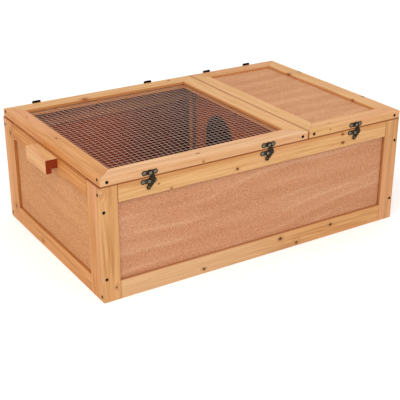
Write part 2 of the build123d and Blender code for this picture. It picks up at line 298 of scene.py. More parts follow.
@dataclass(frozen=True)
class Line:
    """Plane across a board on which dark joints, stained bands, painted shadows and painted shade show.

    A point lies on it where the point times the normal is the offset.
    """

    normal: Point
    offset: float
    half_width: float
    share: float
    core: float = 0.4

    def share_at(self, recipe: Recipe) -> Socket:
        """Share of the line's colour: its own share in its core, falling to none at its sides.

        Args:
            recipe: the tree that it is added to.

        Returns:
            Share from 0 to the line's own.
        """
        reach = recipe.add("VectorMath", (recipe.coords, self.normal), "Value", operation="DOT_PRODUCT")
        past = recipe.add("Math", (reach, self.offset), operation="SUBTRACT")
        off = recipe.add("Math", (past,), operation="ABSOLUTE")
        fall = (off, self.core * self.half_width, self.half_width, self.share, 0.0)
        return recipe.add("MapRange", fall, interpolation_type="SMOOTHSTEP")


class Mark(Enum):
    """How a joint, a painted shadow or shade, or a band of stain looks: half its width, and its share."""

    FRONT_SEAM = (2.5 * MM, 1.0)
    SIDE_SEAM = (3.1 * MM, 1.0)
    LID_GAP = (3.4 * MM, 0.95)
    BATTEN_EDGE = (2.8 * MM, 0.95)
    PANEL_EDGE = (0.9 * MM, 0.6)
    TIGHT_JOINT = (0.8 * MM, 0.5)
    RAIL_END = (2.2 * MM, 1.0)
    BOTTOM_RAIL_END = (2.2 * MM, 0.35)
    # Painted contact shadow on the lid rails' inner faces, where the wire mesh meets them
    PAINTED_REBATE_SHADOW = (1.5 * MM, 0.85)
    DIVIDER_SHADOW = (5.0 * MM, 0.9)
    LID_SHADOW = (2.0 * MM, 0.55)
    LID_FAR_SHADOW = (3.2 * MM, 0.8)
    WALL_SHADOW = (2.0 * MM, 0.7)
    WALL_FAR_SHADOW = (3.2 * MM, 0.95)
    STREAK = (8 * MM, 0.4)
    # Painted shadow on the top rails under the lids' overhang
    PAINTED_LID_SHADOW = (17 * MM, 0.45)
    PALE_END = (640 * MM, 0.4)
    # Painted shade inside the house: beside the divider, at its foot, and in the den
    CORNER_SHADE = (310 * MM, 0.6)
    FOOT_SHADE = (260 * MM, 0.45)
    DEN_SHADE = (220 * MM, 0.88)

    def on(self, normal: Point, offset: float) -> Line:
        """Lays the mark on a plane."""
        half_width, share = self.value
        return Line(normal, offset, half_width, share)


@dataclass(frozen=True)
class Stock:
    """Piece of wood before it is finished: its grain, its box, and how it sits in the house."""

    node: str
    grain: Grain
    low: Vector
    high: Vector
    seed: int
    inner: Point = NOWHERE
    outward: Point = NOWHERE
    lines: tuple[Line, ...] = ()

    @property
    def middle(self) -> Point:
        """Middle of the box."""
        return tuple((self.low + self.high) / 2)

    @property
    def hidden_side(self) -> Point:
        """Direction into the house."""
        return tuple(-part for part in self.outward)

    def along(self, along: float, across: float) -> Point:
        """Puts one value along the grain and another across it.

        Args:
            along: value for the axis of the grain.
            across: value for the two other axes.

        Returns:
            The values in X, Y, Z order.
        """
        values = [across, across, across]
        values[self.grain.value] = along
        return tuple(values)

    def pattern(
        self, recipe: Recipe, figure: Figure, shift: float, place: Socket | None = None, output: str | int = 0
    ) -> Socket:
        """Adds a figure that follows the grain, shifted, on the board's own place or a bent one."""
        sizes = self.along(figure.length, figure.width)
        return recipe.patches(sizes, shift, figure.layers, place, output)

    def facing(self, recipe: Recipe, direction: Point, start: float = 0.6, end: float = 0.9) -> Socket:
        """Finds the faces that look in a direction.

        Args:
            recipe: the tree that it is added to.
            direction: the way that they look.
            start: cosine of the angle at which the share leaves 0.
            end: cosine of the angle at which the share reaches 1.

        Returns:
            Share from 0 to 1.
        """
        normal = recipe.add("TexCoord", output="Normal")
        turn = recipe.add("VectorMath", (normal, direction), "Value", operation="DOT_PRODUCT")
        return recipe.add("MapRange", (turn, start, end))

    def with_lines(self, recipe: Recipe, colour: Colour, shade: str) -> Colour:
        """Lays dark joints and painted contact shadows over a colour, not on faces that lie in their planes.

        Args:
            recipe: the tree that it is added to.
            colour: colour of the bare wood.
            shade: colour of the joints and of the painted contact shadows.

        Returns:
            The lined colour.
        """
        for line in self.lines:
            sides = tuple(self.facing(recipe, tuple(side * part for part in line.normal)) for side in (1, -1))
            lying = recipe.add("Math", sides, operation="ADD")
            crossing = recipe.add("Math", (1.0, lying), operation="SUBTRACT")
            share = recipe.add("Math", (crossing, line.share_at(recipe)), operation="MULTIPLY")
            colour = recipe.stain(colour, shade, share)
        return colour


@dataclass(frozen=True)
class PlanedPine:
    """Knotty pine, planed and brushed with a honey stain, then a satin varnish.

    The eye sees long soft growth lines, which arch where a face cuts the rings flat, fine
    fibres along the board, an orange halo round each knot, dark thirsty end grain, and
    stain gathered on inner edges and in the joints. Painted shade darkens the faces inside
    the house and the sides of the lid rails, painted shadows lie under the lids and along
    the mesh, and the arrises take a painted highlight as well as wear.
    """

    stock: Stock
    tone: Tone
    knots: tuple[Knot, ...] = ()
    ring_spacing: float = 5.4 * MM
    wander: float = 7 * MM
    pith_reach: float = 60 * MM
    lean: float = math.radians(2.4)
    sway: Figure = Figure(769.2 * MM, 166.7 * MM, 1.0)
    years: Figure = Figure(1111 * MM, 33.33 * MM, 2.0, (0.4, 0.68))
    streaks: Figure = Figure(769.2 * MM, 16.13 * MM, 3.0, (0.3, 0.68))
    # Fibres are under 1 mm wide on a real board and are drawn from 7 mm down, to show
    fibres: Figure = Figure(142.9 * MM, 6.667 * MM, 5.0, (0.47, 0.68))
    warmth: Figure = Figure(625 * MM, 83.33 * MM, 2.0, (0.5, 0.66))
    ring_strength: tuple[float, float] = (0.04, 0.6)
    fibre_share: float = 0.55
    knot_swell: float = 0.9
    knot_reach: tuple[float, float] = (0.8, 5.0)
    knot_squeeze: float = 0.75
    rag_size: float = 3.846 * MM
    rag: float = 0.6
    blush: str = "#E2A076"
    blush_share: float = 0.5
    end_grain: str = "#8F4A1E"
    end_share: float = 0.8
    end_turn: tuple[float, float] = (0.75, 0.95)
    joint: str = "#863A00"
    # Stain gathered on the faces towards a panel; on the battens this is painted shade
    edge_stain_and_shade: str = "#A85C26"
    edge_share: float = 0.6
    # Painted shade: faces inside the house take this darker, redder colour
    painted_inside_shade: str = "#AE6440"
    inside_share: float = 0.8
    # Painted shade on faces that do not look up, which leaves the tops lighter
    painted_side_shade: float = 0.0
    # Arrises are lightened by wear and by a painted highlight
    arris_radius: float = 1.5 * MM
    arris_share: float = 0.4
    arris_turn: tuple[float, float] = (0.98, 0.85)
    arris_wear_and_highlight: str = "#F4D2A2"
    tints: tuple[tuple[Line, str], ...] = ()
    # Painted contact shadow along the inner faces, at the wire mesh's level
    painted_rebate_shadow: Line | None = None
    # Painted shade: soft dark bands laid on the inside faces, and their colour
    shades: tuple[Line, ...] = ()
    shade: str = "#200E12"
    roughness: tuple[float, float] = (0.5, 0.64)
    specular: float = 0.22
    fibre_relief: float = 0.5
    ring_relief: float = 0.35
    relief_depth: float = 0.1 * MM

    def build(self) -> bpy.types.Material:
        """Builds the material in layers: figure, knots, end grain, stains, painted shade and joints.

        Returns:
            The finish of this board.
        """
        stock = self.stock
        draw = np.random.default_rng(stock.seed)
        recipe = Recipe(bpy.data.materials.new(f"pine_planed_{stock.node}"))
        shift = float(draw.uniform(0, 40))
        bent = self.bent_place(recipe, shift)
        knot_field = self.knot_distance(recipe) if self.knots else None
        late = self.late_wood(recipe, bent, knot_field, draw)
        fibres = stock.pattern(recipe, self.fibres, shift + 11)
        colour = self.figured(recipe, shift, bent, late, fibres)
        colour = self.knotted(recipe, colour)
        colour = self.stained(recipe, colour)
        colour = stock.with_lines(recipe, colour, self.joint)
        rough = recipe.add("MapRange", (fibres, *NOISE_REACH, *self.roughness))
        raised = recipe.add("Math", (fibres, self.fibre_relief), operation="MULTIPLY")
        brushed_out = recipe.add("Math", (late, self.ring_relief), operation="MULTIPLY")
        relief = recipe.add("Math", (raised, brushed_out), operation="SUBTRACT")
        constants = {"Roughness": rough, "Specular IOR Level": self.specular}
        return recipe.finish(colour, constants, relief, self.relief_depth)

    def bent_place(self, recipe: Recipe, shift: float) -> Socket:
        """Sways the place on the board, as the tree did while it grew.

        Args:
            recipe: the tree that it is added to.
            shift: moves the sway, so that boards differ.

        Returns:
            The swayed coordinates: place + wander * (sway - 0.5).
        """
        sway = self.stock.pattern(recipe, self.sway, shift, output="Color")
        centred = recipe.add("VectorMath", (sway, (0.5, 0.5, 0.5)), operation="SUBTRACT")
        drift = recipe.add("VectorMath", {0: centred, "Scale": self.wander}, operation="SCALE")
        return recipe.add("VectorMath", (recipe.coords, drift), operation="ADD")

    def late_wood(
        self, recipe: Recipe, bent: Socket, knot_field: Socket | None, draw: np.random.Generator
    ) -> Socket:
        """Dark late wood: rises through each ring and drops where the next one begins.

        The ring number is the distance from the tree's pith over the ring spacing, swollen
        round the knots.

        Args:
            recipe: the tree that it is added to.
            bent: swayed coordinates.
            knot_field: distance to the nearest knot, or None for a clear board.
            draw: places the pith and leans it.

        Returns:
            Share of late wood from 0 to 1.
        """
        stock = self.stock
        pith = tuple(part + float(draw.uniform(-1, 1)) * self.pith_reach for part in stock.middle)
        tilt = tuple(
            0.0 if axis == stock.grain.value else float(draw.uniform(-1, 1)) * self.lean for axis in range(3)
        )
        off = recipe.add("VectorMath", (bent, pith), operation="SUBTRACT")
        leaned = recipe.add("Mapping", {"Vector": off, "Rotation": tilt})
        flat = recipe.add("VectorMath", (leaned, stock.along(0.0, 1.0)), operation="MULTIPLY")
        reach = recipe.add("VectorMath", (flat,), "Value", operation="LENGTH")
        rings = recipe.add("Math", (reach, self.ring_spacing), operation="DIVIDE")
        if knot_field is not None:
            fall = (knot_field, *self.knot_reach, self.knot_swell, 0.0)
            swell = recipe.add("MapRange", fall, interpolation_type="SMOOTHERSTEP")
            rings = recipe.add("Math", (rings, swell), operation="ADD")
        through = recipe.add("Math", (rings,), operation="FRACT")
        return recipe.add("ValToRGB", (through,), stops=RING_PROFILE)

    def figured(self, recipe: Recipe, shift: float, bent: Socket, late: Socket, fibres: Socket) -> Socket:
        """Colours bare wood: streaks, late wood, fibres, rosy blushes, worn arrises with painted highlights.

        Args:
            recipe: the tree that it is added to.
            shift: moves the patterns, so that boards differ.
            bent: swayed coordinates.
            late: share of late wood.
            fibres: pattern of the fibres.

        Returns:
            The colour, with the board's own tints and the painted shadow under the lids.
        """
        stock = self.stock
        pale, middle, dark = self.tone.value
        streaks = stock.pattern(recipe, self.streaks, shift + 7, bent)
        colour = recipe.stain(linear(pale), middle, streaks, *self.streaks.levels)
        years = stock.pattern(recipe, self.years, shift + 3, bent)
        strength = recipe.add("MapRange", (years, *self.years.levels, *self.ring_strength))
        grown = recipe.add("Math", (late, strength), operation="MULTIPLY")
        colour = recipe.stain(colour, dark, grown)
        colour = recipe.stain(colour, dark, fibres, *self.fibres.levels, high=self.fibre_share)
        warmth = stock.pattern(recipe, self.warmth, shift + 19)
        colour = recipe.stain(colour, self.blush, warmth, *self.warmth.levels, high=self.blush_share)
        # Rubbed arris, lightened also as a painted highlight
        colour = recipe.stain(colour, self.arris_wear_and_highlight, self.arris(recipe), high=self.arris_share)
        # Tints: streaks of stain, pale ends, and the painted shadow under the lids
        for band, tint in self.tints:
            colour = recipe.stain(colour, tint, band.share_at(recipe))
        return colour

    def stained(self, recipe: Recipe, colour: Colour) -> Colour:
        """Lays the stains and the painted shade that a face takes for the way that it looks.

        Args:
            recipe: the tree that it is added to.
            colour: colour of the bare wood.

        Returns:
            The colour with end-grain and inner-edge stains, and painted shade on sides, battens and inside
            faces.
        """
        stock = self.stock
        ends = tuple(stock.facing(recipe, stock.along(side, 0.0), *self.end_turn) for side in (1, -1))
        end = recipe.add("Math", ends, operation="MAXIMUM")
        colour = recipe.stain(colour, self.end_grain, end, high=self.end_share)
        # Painted shade: faces that do not look up are darkened
        if self.painted_side_shade:
            level = stock.facing(recipe, UP)
            colour = recipe.stain(colour, self.edge_stain_and_shade, level, low=self.painted_side_shade, high=0.0)
        # Faces towards a panel: gathered stain on frame boards, painted shade on the battens
        if any(stock.inner):
            inner = stock.facing(recipe, stock.inner)
            colour = recipe.stain(colour, self.edge_stain_and_shade, inner, high=self.edge_share)
            # Painted contact shadow where the wire mesh meets the rail
            if self.painted_rebate_shadow is not None:
                step = recipe.add("Math", (inner, self.painted_rebate_shadow.share_at(recipe)), operation="MULTIPLY")
                colour = recipe.stain(colour, self.joint, step)
        # Painted shade: faces inside the house take a darker colour, under painted shade bands
        if any(stock.outward):
            inside = linear(self.painted_inside_shade)
            for line in self.shades:
                inside = recipe.stain(inside, self.shade, line.share_at(recipe))
            hidden = stock.facing(recipe, stock.hidden_side)
            colour = recipe.stain(colour, inside, hidden, high=self.inside_share)
        return colour

    def arris(self, recipe: Recipe) -> Socket:
        """Rubbed arris and painted highlight: how far the rounded normal leans away from the face's own.

        Args:
            recipe: the tree that it is added to.

        Returns:
            Share from 0 to 1.
        """
        rounded = recipe.add("Bevel", {"Radius": self.arris_radius}, samples=4)
        own = recipe.add("NewGeometry", output="True Normal")
        match = recipe.add("VectorMath", (rounded, own), "Value", operation="DOT_PRODUCT")
        return recipe.add("MapRange", (match, *self.arris_turn))

    def one_knot(self, recipe: Recipe, knot: Knot) -> Socket:
        """Measures from one knot, a little long along the grain, with a ragged rim.

        Args:
            recipe: the tree that it is added to.
            knot: the knot.

        Returns:
            Distance from its middle in its radii.
        """
        off = recipe.add("VectorMath", (recipe.coords, knot.place), operation="SUBTRACT")
        squeeze = self.stock.along(self.knot_squeeze / knot.radius, 1.0 / knot.radius)
        scaled = recipe.add("VectorMath", (off, squeeze), operation="MULTIPLY")
        reach = recipe.add("VectorMath", (scaled,), "Value", operation="LENGTH")
        rag = recipe.patches((self.rag_size,) * 3, 5.0)
        centred = recipe.add("Math", (rag, 0.5), operation="SUBTRACT")
        ragged = recipe.add("Math", (centred, self.rag), operation="MULTIPLY")
        return recipe.add("Math", (reach, ragged), operation="ADD")

    def knot_distance(self, recipe: Recipe) -> Socket:
        """Measures from the nearest knot.

        Args:
            recipe: the tree that it is added to.

        Returns:
            Distance in that knot's radii.
        """
        nearest = self.one_knot(recipe, self.knots[0])
        for knot in self.knots[1:]:
            nearest = recipe.add("Math", (nearest, self.one_knot(recipe, knot)), operation="MINIMUM")
        return nearest

    def knotted(self, recipe: Recipe, colour: Colour) -> Colour:
        """Lays the halo and the dark heart of each knot over a colour.

        Args:
            recipe: the tree that it is added to.
            colour: colour of the clear wood.

        Returns:
            The colour with its knots.
        """
        for knot in self.knots:
            reach = self.one_knot(recipe, knot)
            for shade, fall in ((knot.halo, knot.halo_fall), (knot.heart, knot.heart_fall)):
                share = recipe.add("MapRange", (reach, *fall), interpolation_type="SMOOTHSTEP")
                colour = recipe.stain(colour, shade, share)
        return colour


@dataclass(frozen=True)
class LauanPly:
    """Plywood faced with rotary-cut lauan, sanded and wiped with the same stain.

    The eye sees a pinkish tan with open pores as short dark flecks, and broad, faint
    contour lines where the peeled veneer wanders through the growth rings. Painted shade
    darkens the faces inside the house, and painted contact shadows run along the frame.
    """

    stock: Stock
    base: str = "#CB8E66"
    light: str = "#E3B08C"
    dark: str = "#A8683F"
    band_spacing: float = 42 * MM
    band_sway: float = 85 * MM
    climb: float = 0.12
    band_share: float = 0.6
    faintest_band: float = 0.1
    cloud_share: float = 0.25
    fleck_share: float = 0.62
    mottle_share: float = 0.18
    sway: Figure = Figure(588.2 * MM, 294.1 * MM, 1.0)
    fade: Figure = Figure(294.1 * MM, 76.92 * MM, 2.0, (0.38, 0.56))
    cloud: Figure = Figure(333.3 * MM, 45.45 * MM, 3.0)
    # Pores are 0.3 mm wide in the real veneer and are drawn about 1 mm wide to show
    pores: Figure = Figure(4.348 * MM, 1.923 * MM, 1.0)
    mottle: Figure = Figure(11.76 * MM, 5.263 * MM)
    # Painted shade: faces inside the house take this darker, redder colour
    painted_inside_shade: str = "#A64C28"
    # Colour of the lines, which on a panel paint the contact shadows along its frame
    joint: str = "#7A3A18"
    knots: tuple[Knot, ...] = ()
    # Painted shade: soft dark bands on the inside faces, or on a whole inner panel, and their colour
    shades: tuple[Line, ...] = ()
    shade: str = "#26120E"
    mark_share: float = 0.9
    mark_core: float = 0.6
    roughness: tuple[float, float] = (0.55, 0.7)
    specular: float = 0.2
    relief_depth: float = 0.08 * MM

    def build(self) -> bpy.types.Material:
        """Builds the material in layers: contours, clouds, pores, painted shade, knots, painted shadows.

        Returns:
            The finish of this panel.
        """
        stock = self.stock
        draw = np.random.default_rng(stock.seed)
        recipe = Recipe(bpy.data.materials.new(f"lauan_ply_sanded_{stock.node}"))
        shift = float(draw.uniform(0, 40))
        pores = stock.pattern(recipe, self.pores, shift + 13)
        colour = self.figured(recipe, shift, pores)
        colour = self.stained(recipe, colour)
        for knot in self.knots:
            off = recipe.add("VectorMath", (recipe.coords, knot.place), "Value", operation="DISTANCE")
            fall = (off, self.mark_core * knot.radius, knot.radius, self.mark_share, 0.0)
            share = recipe.add("MapRange", fall, interpolation_type="SMOOTHSTEP")
            colour = recipe.stain(colour, knot.heart, share)
        colour = stock.with_lines(recipe, colour, self.joint)
        rough = recipe.add("MapRange", (pores, *NOISE_REACH, *self.roughness))
        sunk = recipe.add("Math", (pores, -1.0), operation="MULTIPLY")
        constants = {"Roughness": rough, "Specular IOR Level": self.specular}
        return recipe.finish(colour, constants, sunk, self.relief_depth)

    def contours(self, recipe: Recipe, shift: float) -> Socket:
        """Contour lines of the veneer.

        Height = across the grain - climb * along it + 2 * band sway * (sway - 0.5), and a
        line runs once in each band spacing of it.

        Args:
            recipe: the tree that it is added to.
            shift: moves the sway, so that panels differ.

        Returns:
            Share of a line from 0 to 1.
        """
        stock = self.stock
        sway = stock.pattern(recipe, self.sway, shift)
        centred = recipe.add("Math", (sway, 0.5), operation="SUBTRACT")
        swayed = recipe.add("Math", (centred, 2 * self.band_sway), operation="MULTIPLY")
        across, run = (
            recipe.add("VectorMath", (recipe.coords, stock.along(*parts)), "Value", operation="DOT_PRODUCT")
            for parts in ((0.0, 1.0), (self.climb, 0.0))
        )
        climbed = recipe.add("Math", (across, run), operation="SUBTRACT")
        height = recipe.add("Math", (climbed, swayed), operation="ADD")
        bands = recipe.add("Math", (height, self.band_spacing), operation="DIVIDE")
        through = recipe.add("Math", (bands,), operation="FRACT")
        return recipe.add("ValToRGB", (through,), stops=CONTOUR_PROFILE)

    def figured(self, recipe: Recipe, shift: float, pores: Socket) -> Socket:
        """Colours the bare veneer: contours, clouds, pores and a fine mottle.

        Args:
            recipe: the tree that it is added to.
            shift: moves the patterns, so that panels differ.
            pores: pattern of the pores.

        Returns:
            The colour.
        """
        stock = self.stock
        fade = stock.pattern(recipe, self.fade, shift + 4)
        strength = recipe.add("MapRange", (fade, *self.fade.levels, self.faintest_band, self.band_share))
        faded = recipe.add("Math", (self.contours(recipe, shift), strength), operation="MULTIPLY")
        colour = recipe.stain(linear(self.base), self.light, faded)
        cloud = stock.pattern(recipe, self.cloud, shift + 9)
        mottle = stock.pattern(recipe, self.mottle, shift + 17)
        for mark, start, end, shade, share in (
            (cloud, 0.5, 0.66, self.dark, self.cloud_share),
            (cloud, 0.48, 0.34, self.light, self.cloud_share),
            (pores, 0.48, 0.68, self.dark, self.fleck_share),
            (pores, 0.46, 0.3, self.light, self.fleck_share),
            (mottle, 0.5, 0.7, self.dark, self.mottle_share),
            (mottle, 0.5, 0.3, self.light, self.mottle_share),
        ):
            colour = recipe.stain(colour, shade, mark, start, end, high=share)
        return colour

    def stained(self, recipe: Recipe, colour: Colour) -> Colour:
        """Lays painted shade on the hidden face of a wall, or painted shade bands on a whole inner panel.

        Args:
            recipe: the tree that it is added to.
            colour: colour of the veneer.

        Returns:
            The colour with its painted shade.
        """
        is_wall = any(self.stock.outward)
        inside = linear(self.painted_inside_shade) if is_wall else colour
        for line in self.shades:
            inside = recipe.stain(inside, self.shade, line.share_at(recipe))
        if not is_wall:
            return inside
        return recipe.stain(colour, inside, self.stock.facing(recipe, self.stock.hidden_side))


@dataclass(frozen=True)
class GalvanisedWire:
    """Steel wire, hot-dipped in zinc.

    The eye sees a pale coat with bright and dull patches of spangle, and a dull grey
    underside, which is painted shade.
    """

    name: str = "galvanised_wire_dipped"
    bright: str = "#FFE4D4"
    dull: str = "#F4CAB6"
    # Painted shade on the wires' undersides, and its share
    painted_underside_shade: str = "#6E6660"
    painted_underside_share: float = 0.9
    spangle_size: float = 4.167 * MM
    roughness: tuple[float, float] = (0.3, 0.5)
    metallic: float = 0.85
    relief_depth: float = 0.03 * MM

    def build(self) -> bpy.types.Material:
        """Builds the material: patches of spangle, and painted shade on the underside.

        Returns:
            The finish of the wires.
        """
        recipe = Recipe(bpy.data.materials.new(self.name))
        spangle = recipe.patches((self.spangle_size,) * 3, 2.0, 3.0)
        colour = recipe.stain(linear(self.bright), self.dull, spangle, 0.35, 0.65)
        # Painted shade: faces that look down turn dull grey
        normal = recipe.add("TexCoord", output="Normal")
        down = recipe.add("VectorMath", (normal, DOWN), "Value", operation="DOT_PRODUCT")
        colour = recipe.stain(colour, self.painted_underside_shade, down, 0.15, 0.6, high=self.painted_underside_share)
        rough = recipe.add("MapRange", (spangle, *NOISE_REACH, *self.roughness))
        constants = {"Roughness": rough, "Metallic": self.metallic}
        return recipe.finish(colour, constants, spangle, self.relief_depth)


@dataclass(frozen=True)
class AntiqueBronze:
    """Stamped steel, plated and chemically darkened to antique bronze.

    The eye sees near-black rims and recesses, and flats rubbed to a green-grey gleam.
    """

    name: str = "antique_bronze_stamped"
    dark: str = "#0B0502"
    warm: str = "#1F0F07"
    rubbed: str = "#B0A28C"
    patch_size: float = 2.381 * MM
    roughness: tuple[float, float] = (0.42, 0.6)
    metallic: float = 0.75
    specular: float = 0.08
    relief_depth: float = 0.03 * MM

    def build(self) -> bpy.types.Material:
        """Builds the material: patches of plating, and wear where the piece says so.

        Returns:
            The finish of the latches and hinges.
        """
        recipe = Recipe(bpy.data.materials.new(self.name))
        patch = recipe.patches((self.patch_size,) * 3, 1.0, 3.0)
        colour = recipe.stain(linear(self.dark), self.warm, patch, 0.4, 0.66)
        wear = recipe.add("Attribute", output="Fac", attribute_name="wear")
        uneven = recipe.add("MapRange", (patch, 0.3, 0.6, 0.6, 1.0))
        worn = recipe.add("Math", (wear, uneven), operation="MULTIPLY", use_clamp=True)
        colour = recipe.stain(colour, self.rubbed, worn)
        rough = recipe.add("MapRange", (patch, *NOISE_REACH, *self.roughness))
        constants = {"Roughness": rough, "Metallic": self.metallic, "Specular IOR Level": self.specular}
        return recipe.finish(colour, constants, patch, self.relief_depth)


@dataclass(frozen=True)
class BlackenedSteel:
    """Heat-treated steel screws with a black phosphate coat.

    The eye sees matt black heads with a faint oily gleam, scuffed a little by the driver.
    """

    name: str = "blackened_steel_screw"
    dark: str = "#0B0908"
    scuffed: str = "#3A332D"
    # Phosphate crystals are far under 0.1 mm, too fine to show, and are drawn at about 1 mm
    grit_size: float = 1.111 * MM
    roughness: tuple[float, float] = (0.5, 0.7)
    specular: float = 0.12
    relief_depth: float = 0.02 * MM

    def build(self) -> bpy.types.Material:
        """Builds the material: phosphate grain with a few scuffs from the driver.

        Returns:
            The finish of the wood screws.
        """
        recipe = Recipe(bpy.data.materials.new(self.name))
        grit = recipe.patches((self.grit_size,) * 3, 3.0)
        wear = recipe.add("Attribute", output="Fac", attribute_name="wear")
        scuff = recipe.add("Math", (wear, grit), operation="MULTIPLY", use_clamp=True)
        colour = recipe.stain(linear(self.dark), self.scuffed, scuff)
        rough = recipe.add("MapRange", (grit, *NOISE_REACH, *self.roughness))
        constants = {"Roughness": rough, "Specular IOR Level": self.specular}
        return recipe.finish(colour, constants, grit, self.relief_depth)


@dataclass(frozen=True)
class Place:
    """Spot on a face: its middle, the direction of its X, and the way that it faces."""

    origin: Point
    across: Point
    outward: Point


def shown(
    name: str, mesh: bpy.types.Mesh, material: bpy.types.Material, smooth_below: float = 35.0
) -> bpy.types.Object:
    """Shades a mesh, gives it its finish and puts it in the scene.

    Args:
        name: name of the piece.
        mesh: its mesh.
        material: its finish.
        smooth_below: edges under this angle, in degrees, are shaded smooth.

    Returns:
        The object, at the origin.
    """
    mesh.shade_smooth()
    mesh.set_sharp_from_angle(angle=math.radians(smooth_below))
    mesh.materials.clear()
    mesh.materials.append(material)
    piece = bpy.data.objects.new(name, mesh)
    bpy.context.scene.collection.objects.link(piece)
    return piece


@dataclass
class Surface:
    """Vertices, quads and wear of a piece while it is worked out."""

    points: np.ndarray
    quads: np.ndarray
    wear: np.ndarray

    @classmethod
    def grid(cls, points: np.ndarray, wear: np.ndarray | float = 0.0, wrap: bool = True) -> "Surface":
        """Lays quads over a grid of points: each joins a point with its right and lower neighbours.

        Args:
            points: array of rows by columns by 3.
            wear: share of rubbed metal at each point, or one share for all.
            wrap: joins the last column to the first.

        Returns:
            The surface.
        """
        rows, columns = points.shape[:2]
        numbers = np.arange(rows * columns).reshape(rows, columns)
        right = np.roll(numbers, -1, axis=1) if wrap else numbers[:, 1:]
        left = numbers if wrap else numbers[:, :-1]
        quads = np.stack([left[:-1], right[:-1], right[1:], left[1:]], axis=-1).reshape(-1, 4)
        shares = np.broadcast_to(np.asarray(wear, dtype=float), (rows, columns)).reshape(-1)
        return cls(points.reshape(-1, 3), quads, shares)

    @classmethod
    def joined(cls, surfaces: list["Surface"]) -> "Surface":
        """Puts surfaces together, each with its own vertices.

        Args:
            surfaces: the surfaces in order.

        Returns:
            All of them as one.
        """
        starts = np.cumsum([0] + [len(one.points) for one in surfaces[:-1]])
        return cls(
            np.concatenate([one.points for one in surfaces]),
            np.concatenate([one.quads + start for one, start in zip(surfaces, starts)]),
            np.concatenate([one.wear for one in surfaces]),
        )

    def placed(self, place: Place) -> "Surface":
        """Moves the surface from its own frame, in which Z points outwards, onto a face.

        Point = origin + x * across + y * (outward x across) + z * outward.

        Args:
            place: the spot on the face.

        Returns:
            The moved surface.
        """
        x, z = np.asarray(place.across, dtype=float), np.asarray(place.outward, dtype=float)
        frame = np.stack([x, np.cross(z, x), z])
        return Surface(self.points @ frame + np.asarray(place.origin), self.quads, self.wear)

    def to_object(
        self, name: str, material: bpy.types.Material, smooth_below: float = 35.0
    ) -> bpy.types.Object:
        """Makes a Blender object, with poles merged and faces turned outwards.

        Args:
            name: name of the piece.
            material: its finish.
            smooth_below: edges under this angle, in degrees, are shaded smooth.

        Returns:
            The object, at the origin.
        """
        mesh = bpy.data.meshes.new(name)
        mesh.from_pydata(self.points.tolist(), [], self.quads.tolist())
        attribute = mesh.attributes.new("wear", "FLOAT", "POINT")
        attribute.data.foreach_set("value", self.wear.astype(np.float32))
        shell = bmesh.new()
        shell.from_mesh(mesh)
        bmesh.ops.remove_doubles(shell, verts=shell.verts, dist=1e-6)
        bmesh.ops.recalc_face_normals(shell, faces=shell.faces)
        shell.to_mesh(mesh)
        shell.free()
        return shown(name, mesh, material, smooth_below)


def turned(profile: list[tuple[float, float]], sides: int, wear: list[float]) -> Surface:
    """Lathe shape: x = r cos a, y = r sin a, z = height, for each point of the profile.

    Args:
        profile: radius and height of each ring, from one end of the axis to the other.
        sides: number of points round the axis.
        wear: rubbed share of each ring.

    Returns:
        The closed surface.
    """
    radius, height = np.array(profile).T[..., None]
    angle = np.linspace(0, 2 * np.pi, sides, endpoint=False)
    rings = np.broadcast_arrays(radius * np.cos(angle), radius * np.sin(angle), height)
    return Surface.grid(np.stack(rings, axis=-1), np.array(wear)[:, None])


@dataclass(frozen=True)
class ScrewHead:
    """Screw head with a cross recess: countersunk and nearly level, or a domed pan head."""

    radius: float
    rise: float
    sink: float
    countersunk: bool = False
    sides: int = 32
    rim_lift: float = 0.1 * MM
    slot_half_width: float = 0.17
    slot_length: float = 0.62
    slot_depth: float = 0.85
    side_fade: float = 0.05
    end_fade: float = 0.06
    flat_power: float = 6.0
    pan_power: float = 2.6
    rim_wear: float = 0.25

    def arm(self, along: np.ndarray, side: np.ndarray) -> np.ndarray:
        """Finds one slot: 1 / (1 + e^((distance - edge) / fade)), across its side and past its end.

        Args:
            along: distance from the middle along the slot, in radii.
            side: distance from the slot's middle line, in radii.

        Returns:
            Share from 0 outside to 1 inside.
        """
        inside = 1 + np.exp((np.abs(side) - self.slot_half_width) / self.side_fade)
        before_end = 1 + np.exp((np.abs(along) - self.slot_length) / self.end_fade)
        return 1 / inside / before_end

    def build(self, spin: float) -> Surface:
        """Builds the head as a polar grid whose height falls inside two crossed slots.

        Height = rim lift + rise * (1 - (r / radius) ** power) - slot depth * rise * slot.

        Args:
            spin: turn of the cross, in radians.

        Returns:
            The surface, closed below.
        """
        shares = np.array([0.0, 0.1, 0.2, 0.3, 0.4, 0.5, 0.6, 0.72, 0.84, 0.93, 1.0])[:, None]
        angle = np.linspace(0, 2 * np.pi, self.sides, endpoint=False)
        x, y = shares * np.cos(angle), shares * np.sin(angle)
        u, v = x * np.cos(spin) + y * np.sin(spin), y * np.cos(spin) - x * np.sin(spin)
        slot = np.maximum(self.arm(u, v), self.arm(v, u))
        crown = 1 - shares ** (self.flat_power if self.countersunk else self.pan_power)
        height = self.rim_lift + self.rise * (crown - self.slot_depth * slot)
        top = np.stack([self.radius * x, self.radius * y, height], axis=-1)
        skirt = top[-1:] * (1, 1, 0) - (0, 0, self.sink)
        base = np.broadcast_to((0.0, 0.0, -self.sink), skirt.shape)
        if self.countersunk:
            rub = np.broadcast_to(self.rim_wear * shares**4, slot.shape)
        else:
            rub = np.clip((shares - 0.3) / 0.2, 0, 1) * (1 - slot)
        wear = np.concatenate([rub, np.zeros((2, self.sides))])
        return Surface.grid(np.concatenate([top, skirt, base]), wear)


